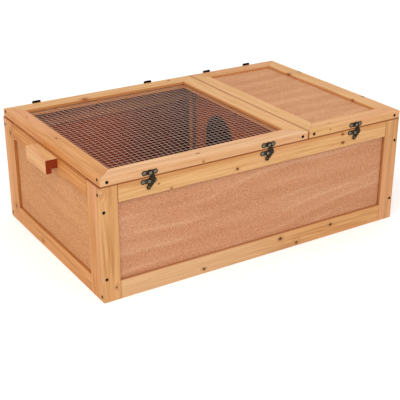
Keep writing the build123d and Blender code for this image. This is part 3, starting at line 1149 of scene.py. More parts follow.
@dataclass
class WoodScrews:
    """Black countersunk screws that hold boards together, all of one body as one piece."""

    name: str
    body: str
    places: list[Place]
    head: ScrewHead = ScrewHead(4.3 * MM, 0.7 * MM, 0.6 * MM, countersunk=True)

    def build(self, material: bpy.types.Material) -> bpy.types.Object:
        """Builds the heads, each turned as its driver left it.

        Args:
            material: finish of the screws.

        Returns:
            The piece.
        """
        draw = np.random.default_rng(len(self.name))
        heads = [self.head.build(draw.uniform(0, math.pi / 2)).placed(place) for place in self.places]
        piece = Surface.joined(heads).to_object(self.name, material)
        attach(piece, self.body)
        return piece


@dataclass(frozen=True)
class ScrewPlan:
    """Where the wood screws sit on the boards."""

    board_middle: float = 10 * MM
    stile_heights: tuple[float, float] = (64 * MM, 244 * MM)
    rail_heights: tuple[float, float] = (14 * MM, 288.5 * MM)
    lid_inset: float = 18.5 * MM
    lid_height: float = 10.5 * MM
    lid_end_inset: float = 14 * MM
    lid_end_height: float = 16.5 * MM

    def groups(self) -> list[WoodScrews]:
        """Groups the screws by the body that they move with, on the boxes of their boards.

        Returns:
            The screws of the frame and of the two lids.
        """
        low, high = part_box("front_left_stile")[0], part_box("back_right_stile")[1]
        frame = []
        for x in (low.x + self.board_middle, high.x - self.board_middle):
            for z in self.stile_heights:
                frame.append(Place((x, low.y, z), *FRONT))
                frame.append(Place((x, high.y, z), *BACK))
        for y in (low.y + self.board_middle, high.y - self.board_middle):
            for z in self.rail_heights:
                frame.append(Place((low.x, y, z), *LEFT))
                frame.append(Place((high.x, y, z), *RIGHT))
        groups = [WoodScrews("frame_wood_screws", "base", frame)]
        for lid, side in (("mesh_lid", LEFT), ("solid_lid", RIGHT)):
            start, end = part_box(f"{lid}_left_rail")[0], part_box(f"{lid}_right_rail")[1]
            places = []
            for x in (start.x + self.lid_inset, end.x - self.lid_inset):
                places.append(Place((x, low.y, start.z + self.lid_height), *FRONT))
                places.append(Place((x, high.y, start.z + self.lid_height), *BACK))
            outer = start.x if side is LEFT else end.x
            for y in (low.y + self.lid_end_inset, high.y - self.lid_end_inset):
                places.append(Place((outer, y, start.z + self.lid_end_height), *side))
            groups.append(WoodScrews(f"{lid}_wood_screws", lid, places))
        return groups


@dataclass
class WireMesh:
    """Welded mesh of straight wires: one layer along X over one layer along Y."""

    body: str = "mesh_lid"
    node: str = "wire_mesh"
    rim: float = 8.5 * MM
    wire_radius: float = 0.32 * MM
    layer_gap: float = 0.5 * MM
    cells_along: int = 37
    cells_across: int = 35
    sides: int = 6
    seed: int = 21
    waver: float = 0.22 * MM
    bulge: float = 6.5 * MM

    def wires(self, starts: np.ndarray, reach: tuple[float, float], axis: int, level: float) -> Surface:
        """Tubes along one axis: a ring of points at each half cell, swayed a little sideways.

        The mesh is pushed up in the middle: lift = bulge * (1 - u * u) * (1 - v * v), where
        u and v run from -1 to 1 over the opening.

        Args:
            starts: place of each wire across the axis.
            reach: lowest and highest place along the axis.
            axis: 0 for wires along X, 1 for wires along Y.
            level: height of the wires' middle at the rails.

        Returns:
            All the tubes.
        """
        draw = np.random.default_rng(self.seed + axis)
        stations = 2 * (self.cells_along if axis == 0 else self.cells_across) + 3
        along = np.linspace(*reach, stations)
        sway = draw.normal(0, self.waver, (len(starts), stations))
        sway = (sway + np.roll(sway, 1, axis=1) + np.roll(sway, -1, axis=1)) / 2
        angle = np.linspace(0, 2 * np.pi, self.sides, endpoint=False)
        side = starts[:, None, None] + sway[..., None] + self.wire_radius * np.cos(angle)
        run = np.broadcast_to(along[None, :, None], side.shape)
        u = (run - sum(reach) / 2) / ((reach[1] - reach[0]) / 2 - self.rim)
        v = ((starts - starts.mean()) / np.abs(starts - starts.mean()).max())[:, None, None]
        lift = self.bulge * np.clip(1 - u * u, 0, 1) * (1 - v * v)
        up = level + lift + self.wire_radius * np.sin(angle)
        tubes = np.stack([run, side, up] if axis == 0 else [side, run, up], axis=-1)
        ends = np.broadcast_to(tubes[:, [0, -1]].mean(axis=2, keepdims=True), tubes[:, [0, -1]].shape)
        closed = np.concatenate([ends[:, :1], tubes, ends[:, 1:]], axis=1)
        return Surface.joined([Surface.grid(tube) for tube in closed])

    def build(self, material: bpy.types.Material) -> bpy.types.Object:
        """Builds the mesh at the height of its solid, its wire ends hidden in the rails.

        Args:
            material: finish of the wires.

        Returns:
            The piece.
        """
        low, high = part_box(self.node)
        middle = (low.z + high.z) / 2
        columns = np.linspace(low.x + self.rim, high.x - self.rim, self.cells_along + 1)
        rows = np.linspace(low.y + self.rim, high.y - self.rim, self.cells_across + 1)
        over = self.wires(rows, (low.x, high.x), 0, middle + self.layer_gap)
        under = self.wires(columns, (low.y, high.y), 1, middle - self.layer_gap)
        piece = Surface.joined([over, under]).to_object("welded_wire_mesh", material, 80.0)
        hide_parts(self.node)
        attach(piece, self.body)
        return piece


@dataclass
class HookLatch:
    """Swing-hook latch: a lobed plate with a rivet, a hook, and a lobed plate with a stud."""

    number: int
    lid: str
    lobe_spacing: float = 30.5 * MM
    end_radius: float = 6.75 * MM
    middle_radius: float = 7.0 * MM
    waist: float = 6.0 * MM
    thickness: float = 1.2 * MM
    edge: float = 0.45 * MM
    end_ring: float = 4.3 * MM
    middle_ring: float = 5.3 * MM
    ring_width: float = 0.5 * MM
    ring_rise: float = 0.22 * MM
    flat_wear: float = 0.16
    ring_wear: float = 0.3
    rivet_radius: float = 3.8 * MM
    rivet_shank: float = 2.0 * MM
    stud_neck: float = 2.5 * MM
    head_height: float = 1.0 * MM
    shoulder_radius: float = 4.0 * MM
    shoulder_height: float = 2.2 * MM
    screw: ScrewHead = ScrewHead(3.1 * MM, 0.75 * MM, 0.2 * MM)
    hook_edge: float = 0.6 * MM
    hook_wear: float = 0.1
    edge_steps: int = 3
    sharp_angle: float = 1.0
    flat_angle: float = math.radians(1)
    tolerance: float = 0.01 * MM
    first_spin: float = 0.4
    spin_step: float = 0.7

    def plate(self, centre: Point) -> Surface:
        """Lobed plate: y = v * half height(x), z = thickness less a rounded edge, plus rings.

        The half height at x is the highest of the three lobes and the waist.

        Args:
            centre: middle of the plate on the wood.

        Returns:
            The closed plate.
        """
        half = self.lobe_spacing / 2
        x = -(half + self.end_radius) * np.cos(np.linspace(0, np.pi, 97))
        radii = ((-half, self.end_radius), (0.0, self.middle_radius), (half, self.end_radius))
        lobes = [np.sqrt(np.clip(radius**2 - (x - middle) ** 2, 0, None)) for middle, radius in radii]
        half_height = np.max([*lobes, np.where(np.abs(x) < half, self.waist, 0.0)], axis=0)
        # Rows from the rim to the middle: share left outside, height of the edge, wear
        inset = np.array([0.0, 0.0, 0.02, 0.06, 0.14, 0.26, 0.42, 0.6, 0.8])
        level = np.array([0.0, 0.55, 0.84, 1.0, 1.0, 1.0, 1.0, 1.0, 1.0])
        flats = np.array([0.0, 0.0, 0.0, 0.1, 0.5, 1.0, 1.0, 1.0, 1.0])
        v = np.concatenate([-1 + inset, [0.0], (1 - inset)[::-1]])[:, None]
        rise = np.concatenate([level, [1.0], level[::-1]])[:, None]
        y = v * half_height
        flat_x = np.broadcast_to(x, y.shape)
        end = np.clip((half_height / self.edge) ** 0.5, 0, 1)
        ring = np.zeros_like(y)
        for middle, radius in ((-half, self.end_ring), (0.0, self.middle_ring), (half, self.end_ring)):
            off = np.hypot(flat_x - middle, y) - radius
            ring = np.maximum(ring, np.exp(-((off / self.ring_width) ** 2)))
        z = self.thickness * rise * np.where(rise > 0, end, 1) + self.ring_rise * ring * (rise >= 1)
        points = np.stack([flat_x, y, z], axis=-1)
        worn = np.clip(self.flat_wear + self.ring_wear * ring, 0, 1)
        wear = np.concatenate([flats, [1.0], flats[::-1]])[:, None] * worn
        back = Surface.grid(points[[0, -1]], wrap=False)
        return Surface.joined([Surface.grid(points, wear, wrap=False), back]).placed(Place(centre, *FRONT))

    def hook(self, source: bpy.types.Object, material: bpy.types.Material) -> bpy.types.Object:
        """Copies the hook's solid, rounds its front rim and rubs its flat.

        Args:
            source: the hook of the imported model.
            material: finish of the hook.

        Returns:
            The piece.
        """
        node = f"latch_{self.number}_hook"
        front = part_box(node)[0].y
        mesh = source.data.copy()
        mesh.transform(source.matrix_world)
        shell = bmesh.new()
        shell.from_mesh(mesh)
        bmesh.ops.remove_doubles(shell, verts=shell.verts, dist=self.tolerance)
        bmesh.ops.dissolve_limit(
            shell, angle_limit=self.flat_angle, verts=shell.verts, edges=shell.edges
        )
        rim = [
            edge
            for edge in shell.edges
            if len(edge.link_faces) == 2
            and edge.calc_face_angle() > self.sharp_angle
            and all(abs(vert.co.y - front) < self.tolerance for vert in edge.verts)
        ]
        bmesh.ops.bevel(
            shell, geom=rim, offset=self.hook_edge, segments=self.edge_steps, profile=0.5, affect="EDGES"
        )
        shell.to_mesh(mesh)
        shell.free()
        places = np.empty(len(mesh.vertices) * 3)
        mesh.vertices.foreach_get("co", places)
        is_front = np.abs(places[1::3] - front) < self.tolerance
        wear = np.where(is_front, self.hook_wear, 0.0).astype(np.float32)
        mesh.attributes.new("wear", "FLOAT", "POINT").data.foreach_set("value", wear)
        piece = shown(f"{node}_stamped", mesh, material)
        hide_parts(node)
        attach(piece, node)
        return piece

    def rivet(self, centre: Point, foot: float, head: float, shank: float) -> Surface:
        """Turned rivet or stud: a shank, and a dished head with a rubbed rim.

        Args:
            centre: its middle on the wood.
            foot: height at which a shoulder ends, or 0 for none.
            head: height at which the head starts.
            shank: radius of the shank.

        Returns:
            The closed surface.
        """
        shoulder = [(self.shoulder_radius, 0.0), (self.shoulder_radius, foot)] if foot else []
        stem = [(0.0, 0.0), *shoulder, (shank, foot), (shank, head)]
        profile = stem + [(share * self.rivet_radius, head + rise) for share, rise, _ in RIVET_HEAD]
        wear = [0.0] * len(stem) + [rub for _, _, rub in RIVET_HEAD]
        return turned(profile, 32, wear).placed(Place(centre, *FRONT))

    def screws(self, centre: Vector) -> list[Surface]:
        """Puts a small pan-head screw in each end lobe of a plate.

        Args:
            centre: middle of the plate on the wood.

        Returns:
            The two heads.
        """
        heads = []
        for number, side in enumerate((-1, 1), start=1):
            place = centre + Vector((side * self.lobe_spacing / 2, -self.thickness, 0))
            spin = self.first_spin + self.spin_step * self.number * number
            heads.append(self.screw.build(spin).placed(Place(place, *FRONT)))
        return heads

    def build(self, nodes: Nodes, material: bpy.types.Material) -> list[bpy.types.Object]:
        """Builds the two plates round the places of their solids, and rounds the hook's edges.

        Args:
            nodes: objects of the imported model.
            material: finish of the latch.

        Returns:
            The three pieces.
        """
        pieces = []
        for part, body, foot, shank in (
            ("pivot_plate", self.lid, self.shoulder_height, self.rivet_shank),
            ("keeper", "base", 0.0, self.stud_neck),
        ):
            node = f"latch_{self.number}_{part}"
            low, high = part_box(node)
            centre = Vector(((low.x + high.x) / 2, high.y, (low.z + high.z) / 2))
            rivet = self.rivet(centre, foot, high.y - low.y - self.head_height, shank)
            surface = Surface.joined([self.plate(centre), rivet, *self.screws(centre)])
            piece = surface.to_object(f"{node}_stamped", material)
            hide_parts(node)
            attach(piece, body)
            pieces.append(piece)
        pieces.append(self.hook(nodes[f"latch_{self.number}_hook"], material))
        return pieces


@dataclass
class ButtHinge:
    """Butt hinge: two leaves, three knuckles and a pin with rounded ends."""

    number: int
    lid: str
    width: float = 26 * MM
    sheet: float = 1.6 * MM
    knuckle_radius: float = 2.9 * MM
    knuckle_gap: float = 0.3 * MM
    knuckle_edge: float = 0.25 * MM
    bore: float = 1.55 * MM
    pin_radius: float = 1.5 * MM
    pin_gap: float = 0.2 * MM
    seam_middle: float = 0.15 * MM
    corner: float = 3.0 * MM
    straight: float = 0.86
    toe_level: float = 0.6
    shoulder: float = 0.92
    shoulder_wear: float = 0.8
    screw: ScrewHead = ScrewHead(2.7 * MM, 0.6 * MM, 0.3 * MM)
    screw_spacing: float = 14 * MM
    screw_height: float = 14.5 * MM
    first_spin: float = 0.5

    def leaf(self, foot: Vector, upward: int, reach: float) -> Surface:
        """Leaf sheet: x = u * half width(y), rounded at its outer corners and along its edges.

        The half width is level up to the corners, where it follows their quarter circle.

        Args:
            foot: middle of the leaf beside its pin, at the face of the wood.
            upward: 1 for the lid's leaf and -1 for the base's.
            reach: length of the leaf from the pin.

        Returns:
            The closed sheet.
        """
        fine = self.straight + (1 - self.straight) * np.sin(np.linspace(0, np.pi / 2, 9))
        rows = np.concatenate([np.linspace(0, self.straight, 5)[:-1], fine])
        along = self.knuckle_radius + (reach - self.knuckle_radius) * rows
        into_corner = np.clip(along - (reach - self.corner), 0, self.corner)
        half = self.width / 2 - self.corner + np.sqrt(np.clip(self.corner**2 - into_corner**2, 0, None))
        # Columns from the edge to the middle: share left outside, and height of the edge
        inset = np.array([0.0, 0.0, 0.012, 0.035, 0.1, 0.3, 0.6])
        level = np.array([0.0, 0.7, self.shoulder, 1.0, 1.0, 1.0, 1.0])
        u = np.concatenate([-1 + inset, [0.0], (1 - inset)[::-1]])[:, None]
        rise = np.concatenate([level, [1.0], level[::-1]])[:, None]
        x = u * half
        z = np.broadcast_to(self.sheet * rise, x.shape).copy()
        z[:, -1] *= self.toe_level
        points = np.stack([x, np.broadcast_to(along, x.shape), z], axis=-1)
        wear = np.where(rise == self.shoulder, self.shoulder_wear, 0.0)
        sheet = Surface.grid(points, wear, wrap=False)
        under = Surface.grid(points * (1, 1, 0), wrap=False)
        ends = [
            Surface.grid(np.stack([points[:, row], points[:, row] * (1, 1, 0)]), wrap=False)
            for row in (0, -1)
        ]
        place = Place(tuple(foot), LEFTWARD if upward > 0 else RIGHTWARD, BACKWARD)
        return Surface.joined([sheet, under, *ends]).placed(place)

    def knuckle(self, axis: Vector, start: float, length: float) -> Surface:
        """Rolled knuckle: a ring with rounded ends, turned about the pin.

        Args:
            axis: middle of the pin.
            start: place of its left end from there.
            length: its length.

        Returns:
            The closed ring.
        """
        edge, bore, outer = self.knuckle_edge, self.bore, self.knuckle_radius
        rings = (
            (bore, edge, 0.0),
            (bore, 0.0, 0.0),
            (outer - edge, 0.0, 0.7),
            (outer, edge, 0.4),
            (outer, length - edge, 0.4),
            (outer - edge, length, 0.7),
            (bore, length, 0.0),
            (bore, length - edge, 0.0),
            (bore, edge, 0.0),
        )
        profile = [(radius, height) for radius, height, _ in rings]
        place = Place((axis.x + start, axis.y, axis.z), *ALONG_PIN)
        return turned(profile, 28, [rub for _, _, rub in rings]).placed(place)

    def pin(self, axis: Vector) -> Surface:
        """Pin with a low dome at each end, turned about its length.

        Args:
            axis: middle of the pin.

        Returns:
            The closed surface.
        """
        half = self.width / 2
        left = [(radius, -half - height) for radius, height in PIN_END]
        right = [(radius, half + height) for radius, height in reversed(PIN_END)]
        under_head = half + PIN_END[-1][1]
        profile = [*left, (self.pin_radius, -under_head), (self.pin_radius, under_head), *right]
        wear = [0.5] * len(left) + [0.0] * 2 + [0.5] * len(right)
        return turned(profile, 24, wear).placed(Place(tuple(axis), *ALONG_PIN))

    def build(self, material: bpy.types.Material) -> list[bpy.types.Object]:
        """Builds both leaves on the boxes of their solids.

        Args:
            material: finish of the hinge.

        Returns:
            The two pieces; the base's also stands for the pin.
        """
        pieces = []
        step = (self.width - 2 * self.knuckle_gap) / 3
        for part, body, upward in (("base_leaf", "base", -1), ("lid_leaf", self.lid, 1)):
            node = f"hinge_{self.number}_{part}"
            low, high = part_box(node)
            face_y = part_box("back_top_rail")[1].y
            pin_y = face_y + self.knuckle_radius + self.pin_gap
            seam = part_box("back_top_rail")[1].z + self.seam_middle
            middle = (low.x + high.x) / 2
            reach = (high.z - seam) if upward > 0 else (seam - low.z)
            axis = Vector((middle, pin_y, seam))
            parts = [self.leaf(Vector((middle, face_y, seam)), upward, reach)]
            for number in (1,) if upward > 0 else (0, 2):
                parts.append(self.knuckle(axis, -self.width / 2 + number * (step + self.knuckle_gap), step))
            for side in (-1, 1):
                x = middle + side * self.screw_spacing / 2
                place = Place((x, face_y + self.sheet, seam + upward * self.screw_height), *BACK)
                parts.append(self.screw.build(self.first_spin + side + self.number).placed(place))
            if upward < 0:
                parts.append(self.pin(axis))
            piece = Surface.joined(parts).to_object(f"{node}_rolled", material)
            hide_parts(node)
            if upward < 0 and self.number == 1:
                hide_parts("hinge_pins")
            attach(piece, body)
            pieces.append(piece)
        return pieces


@dataclass
class Woodwork:
    """Boards and panels of the house, which keep their solids and get wood finishes."""

    house: Point = (470 * MM, 303 * MM, 309 * MM)
    board: float = 20 * MM
    lid_gap: float = 1 * MM
    # Lift of the painted rebate shadow over the wires' middle
    painted_rebate_shadow_lift: float = 1.5 * MM
    den_shade_steps: tuple[float, float] = (100 * MM, 300 * MM)
    pine_seeds: int = 100
    ply_seeds: int = 300
    tones: dict[str, Tone] = field(
        default_factory=lambda: {
            "front_top_rail": Tone.PALE,
            "left_end_top_rail": Tone.ORANGE,
            "mesh_lid_left_rail": Tone.AMBER,
            "left_end_front_stile": Tone.AMBER,
            "left_end_back_stile": Tone.AMBER,
            "left_end_bottom_rail": Tone.AMBER,
            "mesh_lid_front_rail": Tone.ROSY,
            "mesh_lid_back_rail": Tone.PALE,
            "mesh_lid_right_rail": Tone.PALE,
            "solid_lid_front_rail": Tone.PALE,
            "solid_lid_left_rail": Tone.PALE,
            "solid_lid_right_rail": Tone.PALE,
            "left_handle": Tone.PALE,
            "divider_batten_front": Tone.RUSSET,
            "divider_batten_back": Tone.RUSSET,
        }
    )

    def spot(self, x: float, y: float, z: float) -> Point:
        """Turns a place in millimetres from the house's lower front left corner into the model's frame."""
        return (x * MM - self.house[0], y * MM - self.house[1], z * MM)

    def measured_knots(self) -> dict[str, tuple[Knot, ...]]:
        """Lists the knots and marks that the photograph shows.

        Returns:
            The knots of each board that has any, by node.
        """
        spot, dot, faint = self.spot, "#33190C", "#8A5428"
        return {
            "mesh_lid_back_rail": (
                Knot(spot(234, 562, 331), 8 * MM, "#7A3E18"),
                Knot(spot(535, 594, 331), 4 * MM),
            ),
            "mesh_lid_left_rail": (
                Knot(spot(30, 304, 331), 3.2 * MM),
                Knot(spot(30, 501, 331), 2.6 * MM, "#8A4C20"),
            ),
            "mesh_lid_front_rail": (
                Knot(spot(288, 0, 315), 2.2 * MM),
                Knot(spot(284, 20, 331), 3 * MM, faint),
            ),
            "solid_lid_front_rail": (
                Knot(spot(690, 0, 322), 1.8 * MM),
                Knot(spot(703, 22, 331), 2.4 * MM, faint),
            ),
            "solid_lid_right_rail": (
                Knot(spot(892, 452, 330), 7 * MM),
                Knot(spot(892, 145, 328), 4.5 * MM),
                Knot(spot(936, 150, 331), 4 * MM, dot),
                Knot(spot(936, 452, 331), 5 * MM, dot),
            ),
            "front_left_stile": (
                Knot(spot(5, 0, 297), 5.8 * MM, "#9A5222", "#B0602A"),
                Knot(spot(4.5, 0, 297.5), 4.2 * MM, "#DDAA74", "#DDAA74"),
                Knot(spot(36, 0, 36), 2.4 * MM, dot, faint),
            ),
            "front_top_rail": (
                Knot(spot(160, 0, 285), 2.2 * MM, "#5A2A10", "#C98A50"),
                Knot(spot(195, 0, 265), 2.8 * MM, faint, "#C08A54"),
                Knot(spot(390, 0, 273), 3.8 * MM, "#4E2410", "#C98A4E"),
                Knot(spot(735, 0, 300), 4 * MM, "#7A4018", "#BC7434"),
                Knot(spot(737, 0, 275), 4.2 * MM, "#5A2A10", "#BC7434"),
            ),
            "front_bottom_rail": (
                Knot(spot(290, 0, 13.5), 4.2 * MM, dot, "#C08A54"),
                Knot(spot(536, 0, 36), 5.4 * MM, dot, "#B9774A"),
                Knot(spot(592, 0, 10), 4.2 * MM, dot, "#C08A54"),
                Knot(spot(711, 0, 34.5), 4.8 * MM, dot, "#C08A54"),
            ),
            "left_end_back_stile": (
                Knot(spot(0, 560, 273), 6 * MM, "#7C461E"),
                Knot(spot(0, 563, 47), 5.5 * MM, "#7C461E"),
            ),
            "left_end_bottom_rail": (Knot(spot(0, 374, 15), 6 * MM, "#9C5E26"),),
            "divider_panel": (Knot(spot(613, 340, 278), 8 * MM, "#241814"),),
        }

    def inner_side(self, node: str, size: Vector, middle: Vector) -> Point:
        """Finds the direction in which a frame board faces its panel.

        Args:
            node: the board.
            size: size of its box.
            middle: middle of its box.

        Returns:
            The direction, or zeros for a board that frames no panel.
        """
        if node.startswith("divider_batten"):
            return FORWARD if node.endswith("back") else BACKWARD
        if not node.endswith(("_rail", "_stile")):
            return NOWHERE
        family = node.rsplit("_", 2)[0]
        panel = "wire_mesh" if family == "mesh_lid" else f"{family}_panel"
        low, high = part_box(panel)
        wide = sorted(range(3), key=lambda axis: size[axis])[1]
        side = [0.0, 0.0, 0.0]
        side[wide] = math.copysign(1.0, (low + high)[wide] / 2 - middle[wide])
        return tuple(side)

    def outward(self, node: str) -> Point:
        """Finds the direction in which a wall board faces away from the house.

        Args:
            node: the board.

        Returns:
            The direction, or zeros for a board in no wall.
        """
        for start, side in (
            ("front_", FORWARD),
            ("back_", BACKWARD),
            ("left_end_", LEFTWARD),
            ("right_end_", RIGHTWARD),
        ):
            if node.startswith(start):
                return side
        return NOWHERE

    def joint_lines(self, node: str, grain: Grain, inner: Point) -> tuple[Line, ...]:
        """Finds the planes on which the joints of a board with its neighbours show as dark lines.

        Args:
            node: the board.
            grain: direction of its fibres.
            inner: direction in which it faces its panel.

        Returns:
            The lines.
        """
        low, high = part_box(node)
        seam = Mark.FRONT_SEAM if "front" in node else Mark.SIDE_SEAM
        if node.startswith(("mesh_lid_", "solid_lid_")):
            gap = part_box("solid_lid_left_rail")[0].x - self.lid_gap / 2
            return (seam.on(UP, low.z), Mark.LID_GAP.on(RIGHTWARD, gap), *self.mitres(node))
        if node.startswith("divider_batten"):
            return tuple(Mark.BATTEN_EDGE.on(BACKWARD, end.y) for end in (low, high))
        if not any(inner):
            return ()
        lines = [seam.on(UP, self.house[2])]
        if node.endswith("_stile"):
            side = next(axis for axis in range(3) if inner[axis])
            place = high[side] if inner[side] > 0 else low[side]
            lines.append(Mark.PANEL_EDGE.on(tuple(abs(part) for part in inner), place))
            reach = self.house[1] - self.board
            lines += [Mark.TIGHT_JOINT.on(BACKWARD, end * reach) for end in (-1, 1)]
        else:
            mark = Mark.BOTTOM_RAIL_END if "bottom" in node else Mark.RAIL_END
            axis = grain.value
            normal = tuple(float(number == axis) for number in range(3))
            lines += [mark.on(normal, end[axis]) for end in (low, high)]
        return tuple(lines)

    def mitres(self, node: str) -> list[Line]:
        """Finds the diagonal lines at the two ends of a lid rail, where it meets its neighbours.

        Args:
            node: the rail.

        Returns:
            The two lines.
        """
        lid = node.rsplit("_", 2)[0]
        start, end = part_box(f"{lid}_left_rail")[0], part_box(f"{lid}_right_rail")[1]
        half = math.sqrt(0.5)
        lines = []
        for x, y in ((start.x, start.y), (start.x, end.y), (end.x, start.y), (end.x, end.y)):
            across = half if (x == start.x) == (y == start.y) else -half
            normal = (half, -across, 0.0)
            lines.append(Mark.TIGHT_JOINT.on(normal, x * normal[0] + y * normal[1]))
        keep = {"front": (0, 2), "back": (1, 3), "left": (0, 1), "right": (2, 3)}[node.rsplit("_", 2)[1]]
        return [lines[number] for number in keep]

    def opening_lines(self, node: str) -> tuple[Line, ...]:
        """Finds the contact shadows on a panel along the frame that holds it, darkest at the far side.

        Args:
            node: the panel.

        Returns:
            The lines.
        """
        if node == "floor_panel":
            return ()
        if node == "divider_panel":
            edges = (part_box("divider_batten_back")[0].y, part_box("divider_batten_front")[1].y)
            return tuple(Mark.DIVIDER_SHADOW.on(BACKWARD, edge) for edge in edges)
        family, across = node.rsplit("_", 1)[0], RIGHTWARD
        if family == "solid_lid":
            parts = ("left_rail", "right_rail", "front_rail", "back_rail")
            up, mark, far_mark = BACKWARD, Mark.LID_SHADOW, Mark.LID_FAR_SHADOW
        else:
            is_end = family.endswith("_end")
            first, second = ("front", "back") if is_end else ("left", "right")
            parts = (f"{first}_stile", f"{second}_stile", "bottom_rail", "top_rail")
            across = BACKWARD if is_end else across
            up, mark, far_mark = UP, Mark.WALL_SHADOW, Mark.WALL_FAR_SHADOW
        lines = []
        for number, part in enumerate(parts):
            normal = across if number < 2 else up
            axis = normal.index(1.0)
            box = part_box(f"{family}_{part}")
            lines.append((far_mark if number == 1 else mark).on(normal, box[1 - number % 2][axis]))
        return tuple(lines)

    def dress(self, record: dict, nodes: Nodes) -> None:
        """Gives each wooden node its finish.

        Args:
            record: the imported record, whose subparts name each node's slot.
            nodes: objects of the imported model.
        """
        knots = self.measured_knots()
        for number, subpart in enumerate(record["subparts"]):
            node, slot = subpart["node"], subpart["material_slot"]
            if slot not in ("pine", "plywood"):
                continue
            low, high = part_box(node)
            size, middle = high - low, (low + high) / 2
            if slot == "pine":
                grain = Grain(max(range(3), key=lambda axis: size[axis]))
                inner = self.inner_side(node, size, middle)
                lines = self.joint_lines(node, grain, inner)
                seed = self.pine_seeds + number
                stock = Stock(node, grain, low, high, seed, inner, self.outward(node), lines)
                tone = self.tones.get(node, Tone.HONEY)
                finish = PlanedPine(stock, tone, knots.get(node, ()), **self.special(node))
            else:
                across = node.endswith("_end_panel") or node == "divider_panel"
                grain = Grain.ALONG_Y if across else Grain.ALONG_X
                lines = self.opening_lines(node)
                seed = self.ply_seeds + number
                stock = Stock(node, grain, low, high, seed, outward=self.outward(node), lines=lines)
                finish = self.ply(stock, knots.get(node, ()))
            put_on(nodes[node], finish.build())
            LOG.info("dressed %s", node)

    def special(self, node: str) -> dict[str, object]:
        """Chooses the settings of a board that differs from the rest.

        Args:
            node: the board.

        Returns:
            Fields of its finish by name.
        """
        if node.endswith("_handle"):
            return {"end_grain": "#882804", "end_share": 0.98}
        if node.startswith(("mesh_lid_", "solid_lid_")):
            # Painted shade on the lid rails' sides, which leaves their tops lighter
            painted_side_shade = 0.08 if node == "solid_lid_front_rail" else 0.22
            finish = {"edge_stain_and_shade": "#C06C2C", "edge_share": 0.35, "painted_side_shade": painted_side_shade}
            if node.startswith("mesh_lid_"):
                low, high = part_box("wire_mesh")
                level = (low.z + high.z) / 2
                # Painted contact shadow on the inner faces, just over the wires
                painted_rebate_shadow = Mark.PAINTED_REBATE_SHADOW.on(UP, level + self.painted_rebate_shadow_lift)
                finish |= {"edge_stain_and_shade": "#D8833E", "edge_share": 0.55, "painted_side_shade": 0.12, "painted_rebate_shadow": painted_rebate_shadow}
            return finish
        if node.startswith("divider_batten"):
            # Painted shade: near black on the batten faces beside the divider
            return {"edge_stain_and_shade": "#24141A", "edge_share": 0.85}
        if node == "back_top_rail":
            # Painted shade on the back rail's inside, beside the divider and in the den
            return {"shades": (self.corner_shade(), *self.den_shades())}
        if node == "front_right_stile":
            low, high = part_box(node)
            streak = Mark.STREAK.on(RIGHTWARD, (low.x + high.x) / 2 + 2 * MM)
            return {"tints": ((streak, "#B07C4C"),)}
        if node in ("front_top_rail", "left_end_top_rail"):
            # Painted shadow under the lids' overhang, warm and darker
            return {"tints": ((Mark.PAINTED_LID_SHADOW.on(UP, self.house[2]), "#C07834"),)}
        if node == "front_bottom_rail":
            return {"tints": ((Mark.PALE_END.on(RIGHTWARD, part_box(node)[0].x), "#ECC79E"),)}
        return {}

    def corner_shade(self) -> Line:
        """Painted shade on the back wall beside the divider."""
        return Mark.CORNER_SHADE.on(RIGHTWARD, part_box("divider_batten_back")[0].x)

    def den_shades(self) -> tuple[Line, ...]:
        """Painted shade inside the den, from the divider to the far end."""
        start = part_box("divider_panel")[1].x
        return tuple(Mark.DEN_SHADE.on(RIGHTWARD, start + step) for step in self.den_shade_steps)

    def ply(self, stock: Stock, knots: tuple[Knot, ...]) -> LauanPly:
        """Chooses one panel's plywood finish: its face veneer, how bold its figure is, and its painted shade.

        Args:
            stock: the panel.
            knots: its knots.

        Returns:
            The finish.
        """
        if stock.node == "solid_lid_panel":
            return LauanPly(
                stock,
                base="#CD9266",
                light="#E0A97C",
                dark="#B87648",
                band_spacing=64 * MM,
                fleck_share=0.75,
                cloud_share=0.5,
            )
        if stock.node == "divider_panel":
            # Near-black lines paint the shadows beside the battens
            stain = {"base": "#AE4C18", "light": "#C46428", "dark": "#7E3414", "joint": "#180A0C"}
            return LauanPly(stock, **stain, knots=knots)
        if stock.node == "back_panel":
            # Painted shade on the back wall's inside, beside the divider and in the den
            return LauanPly(stock, shades=(self.corner_shade(), *self.den_shades()))
        if stock.node == "floor_panel":
            # The run's floor is coloured dark red-brown as painted shade, with more painted shade at the
            # divider's foot and in the den
            foot = Mark.FOOT_SHADE.on(RIGHTWARD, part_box("divider_panel")[0].x)
            shades = (foot, *self.den_shades())
            return LauanPly(stock, base="#72240E", light="#843016", dark="#4C1406", shades=shades)
        if stock.node == "left_end_panel":
            stain = {"base": "#CA8C58", "light": "#E2AA76", "dark": "#A8683A"}
            return LauanPly(stock, **stain, band_share=0.35, fleck_share=0.75)
        return LauanPly(stock)


def put_on(piece: bpy.types.Object, material: bpy.types.Material) -> None:
    """Puts one material in every slot of a node's object.

    Args:
        piece: the node's object.
        material: its finish.
    """
    if not piece.material_slots:
        piece.data.materials.append(material)
    for slot in piece.material_slots:
        slot.material = material


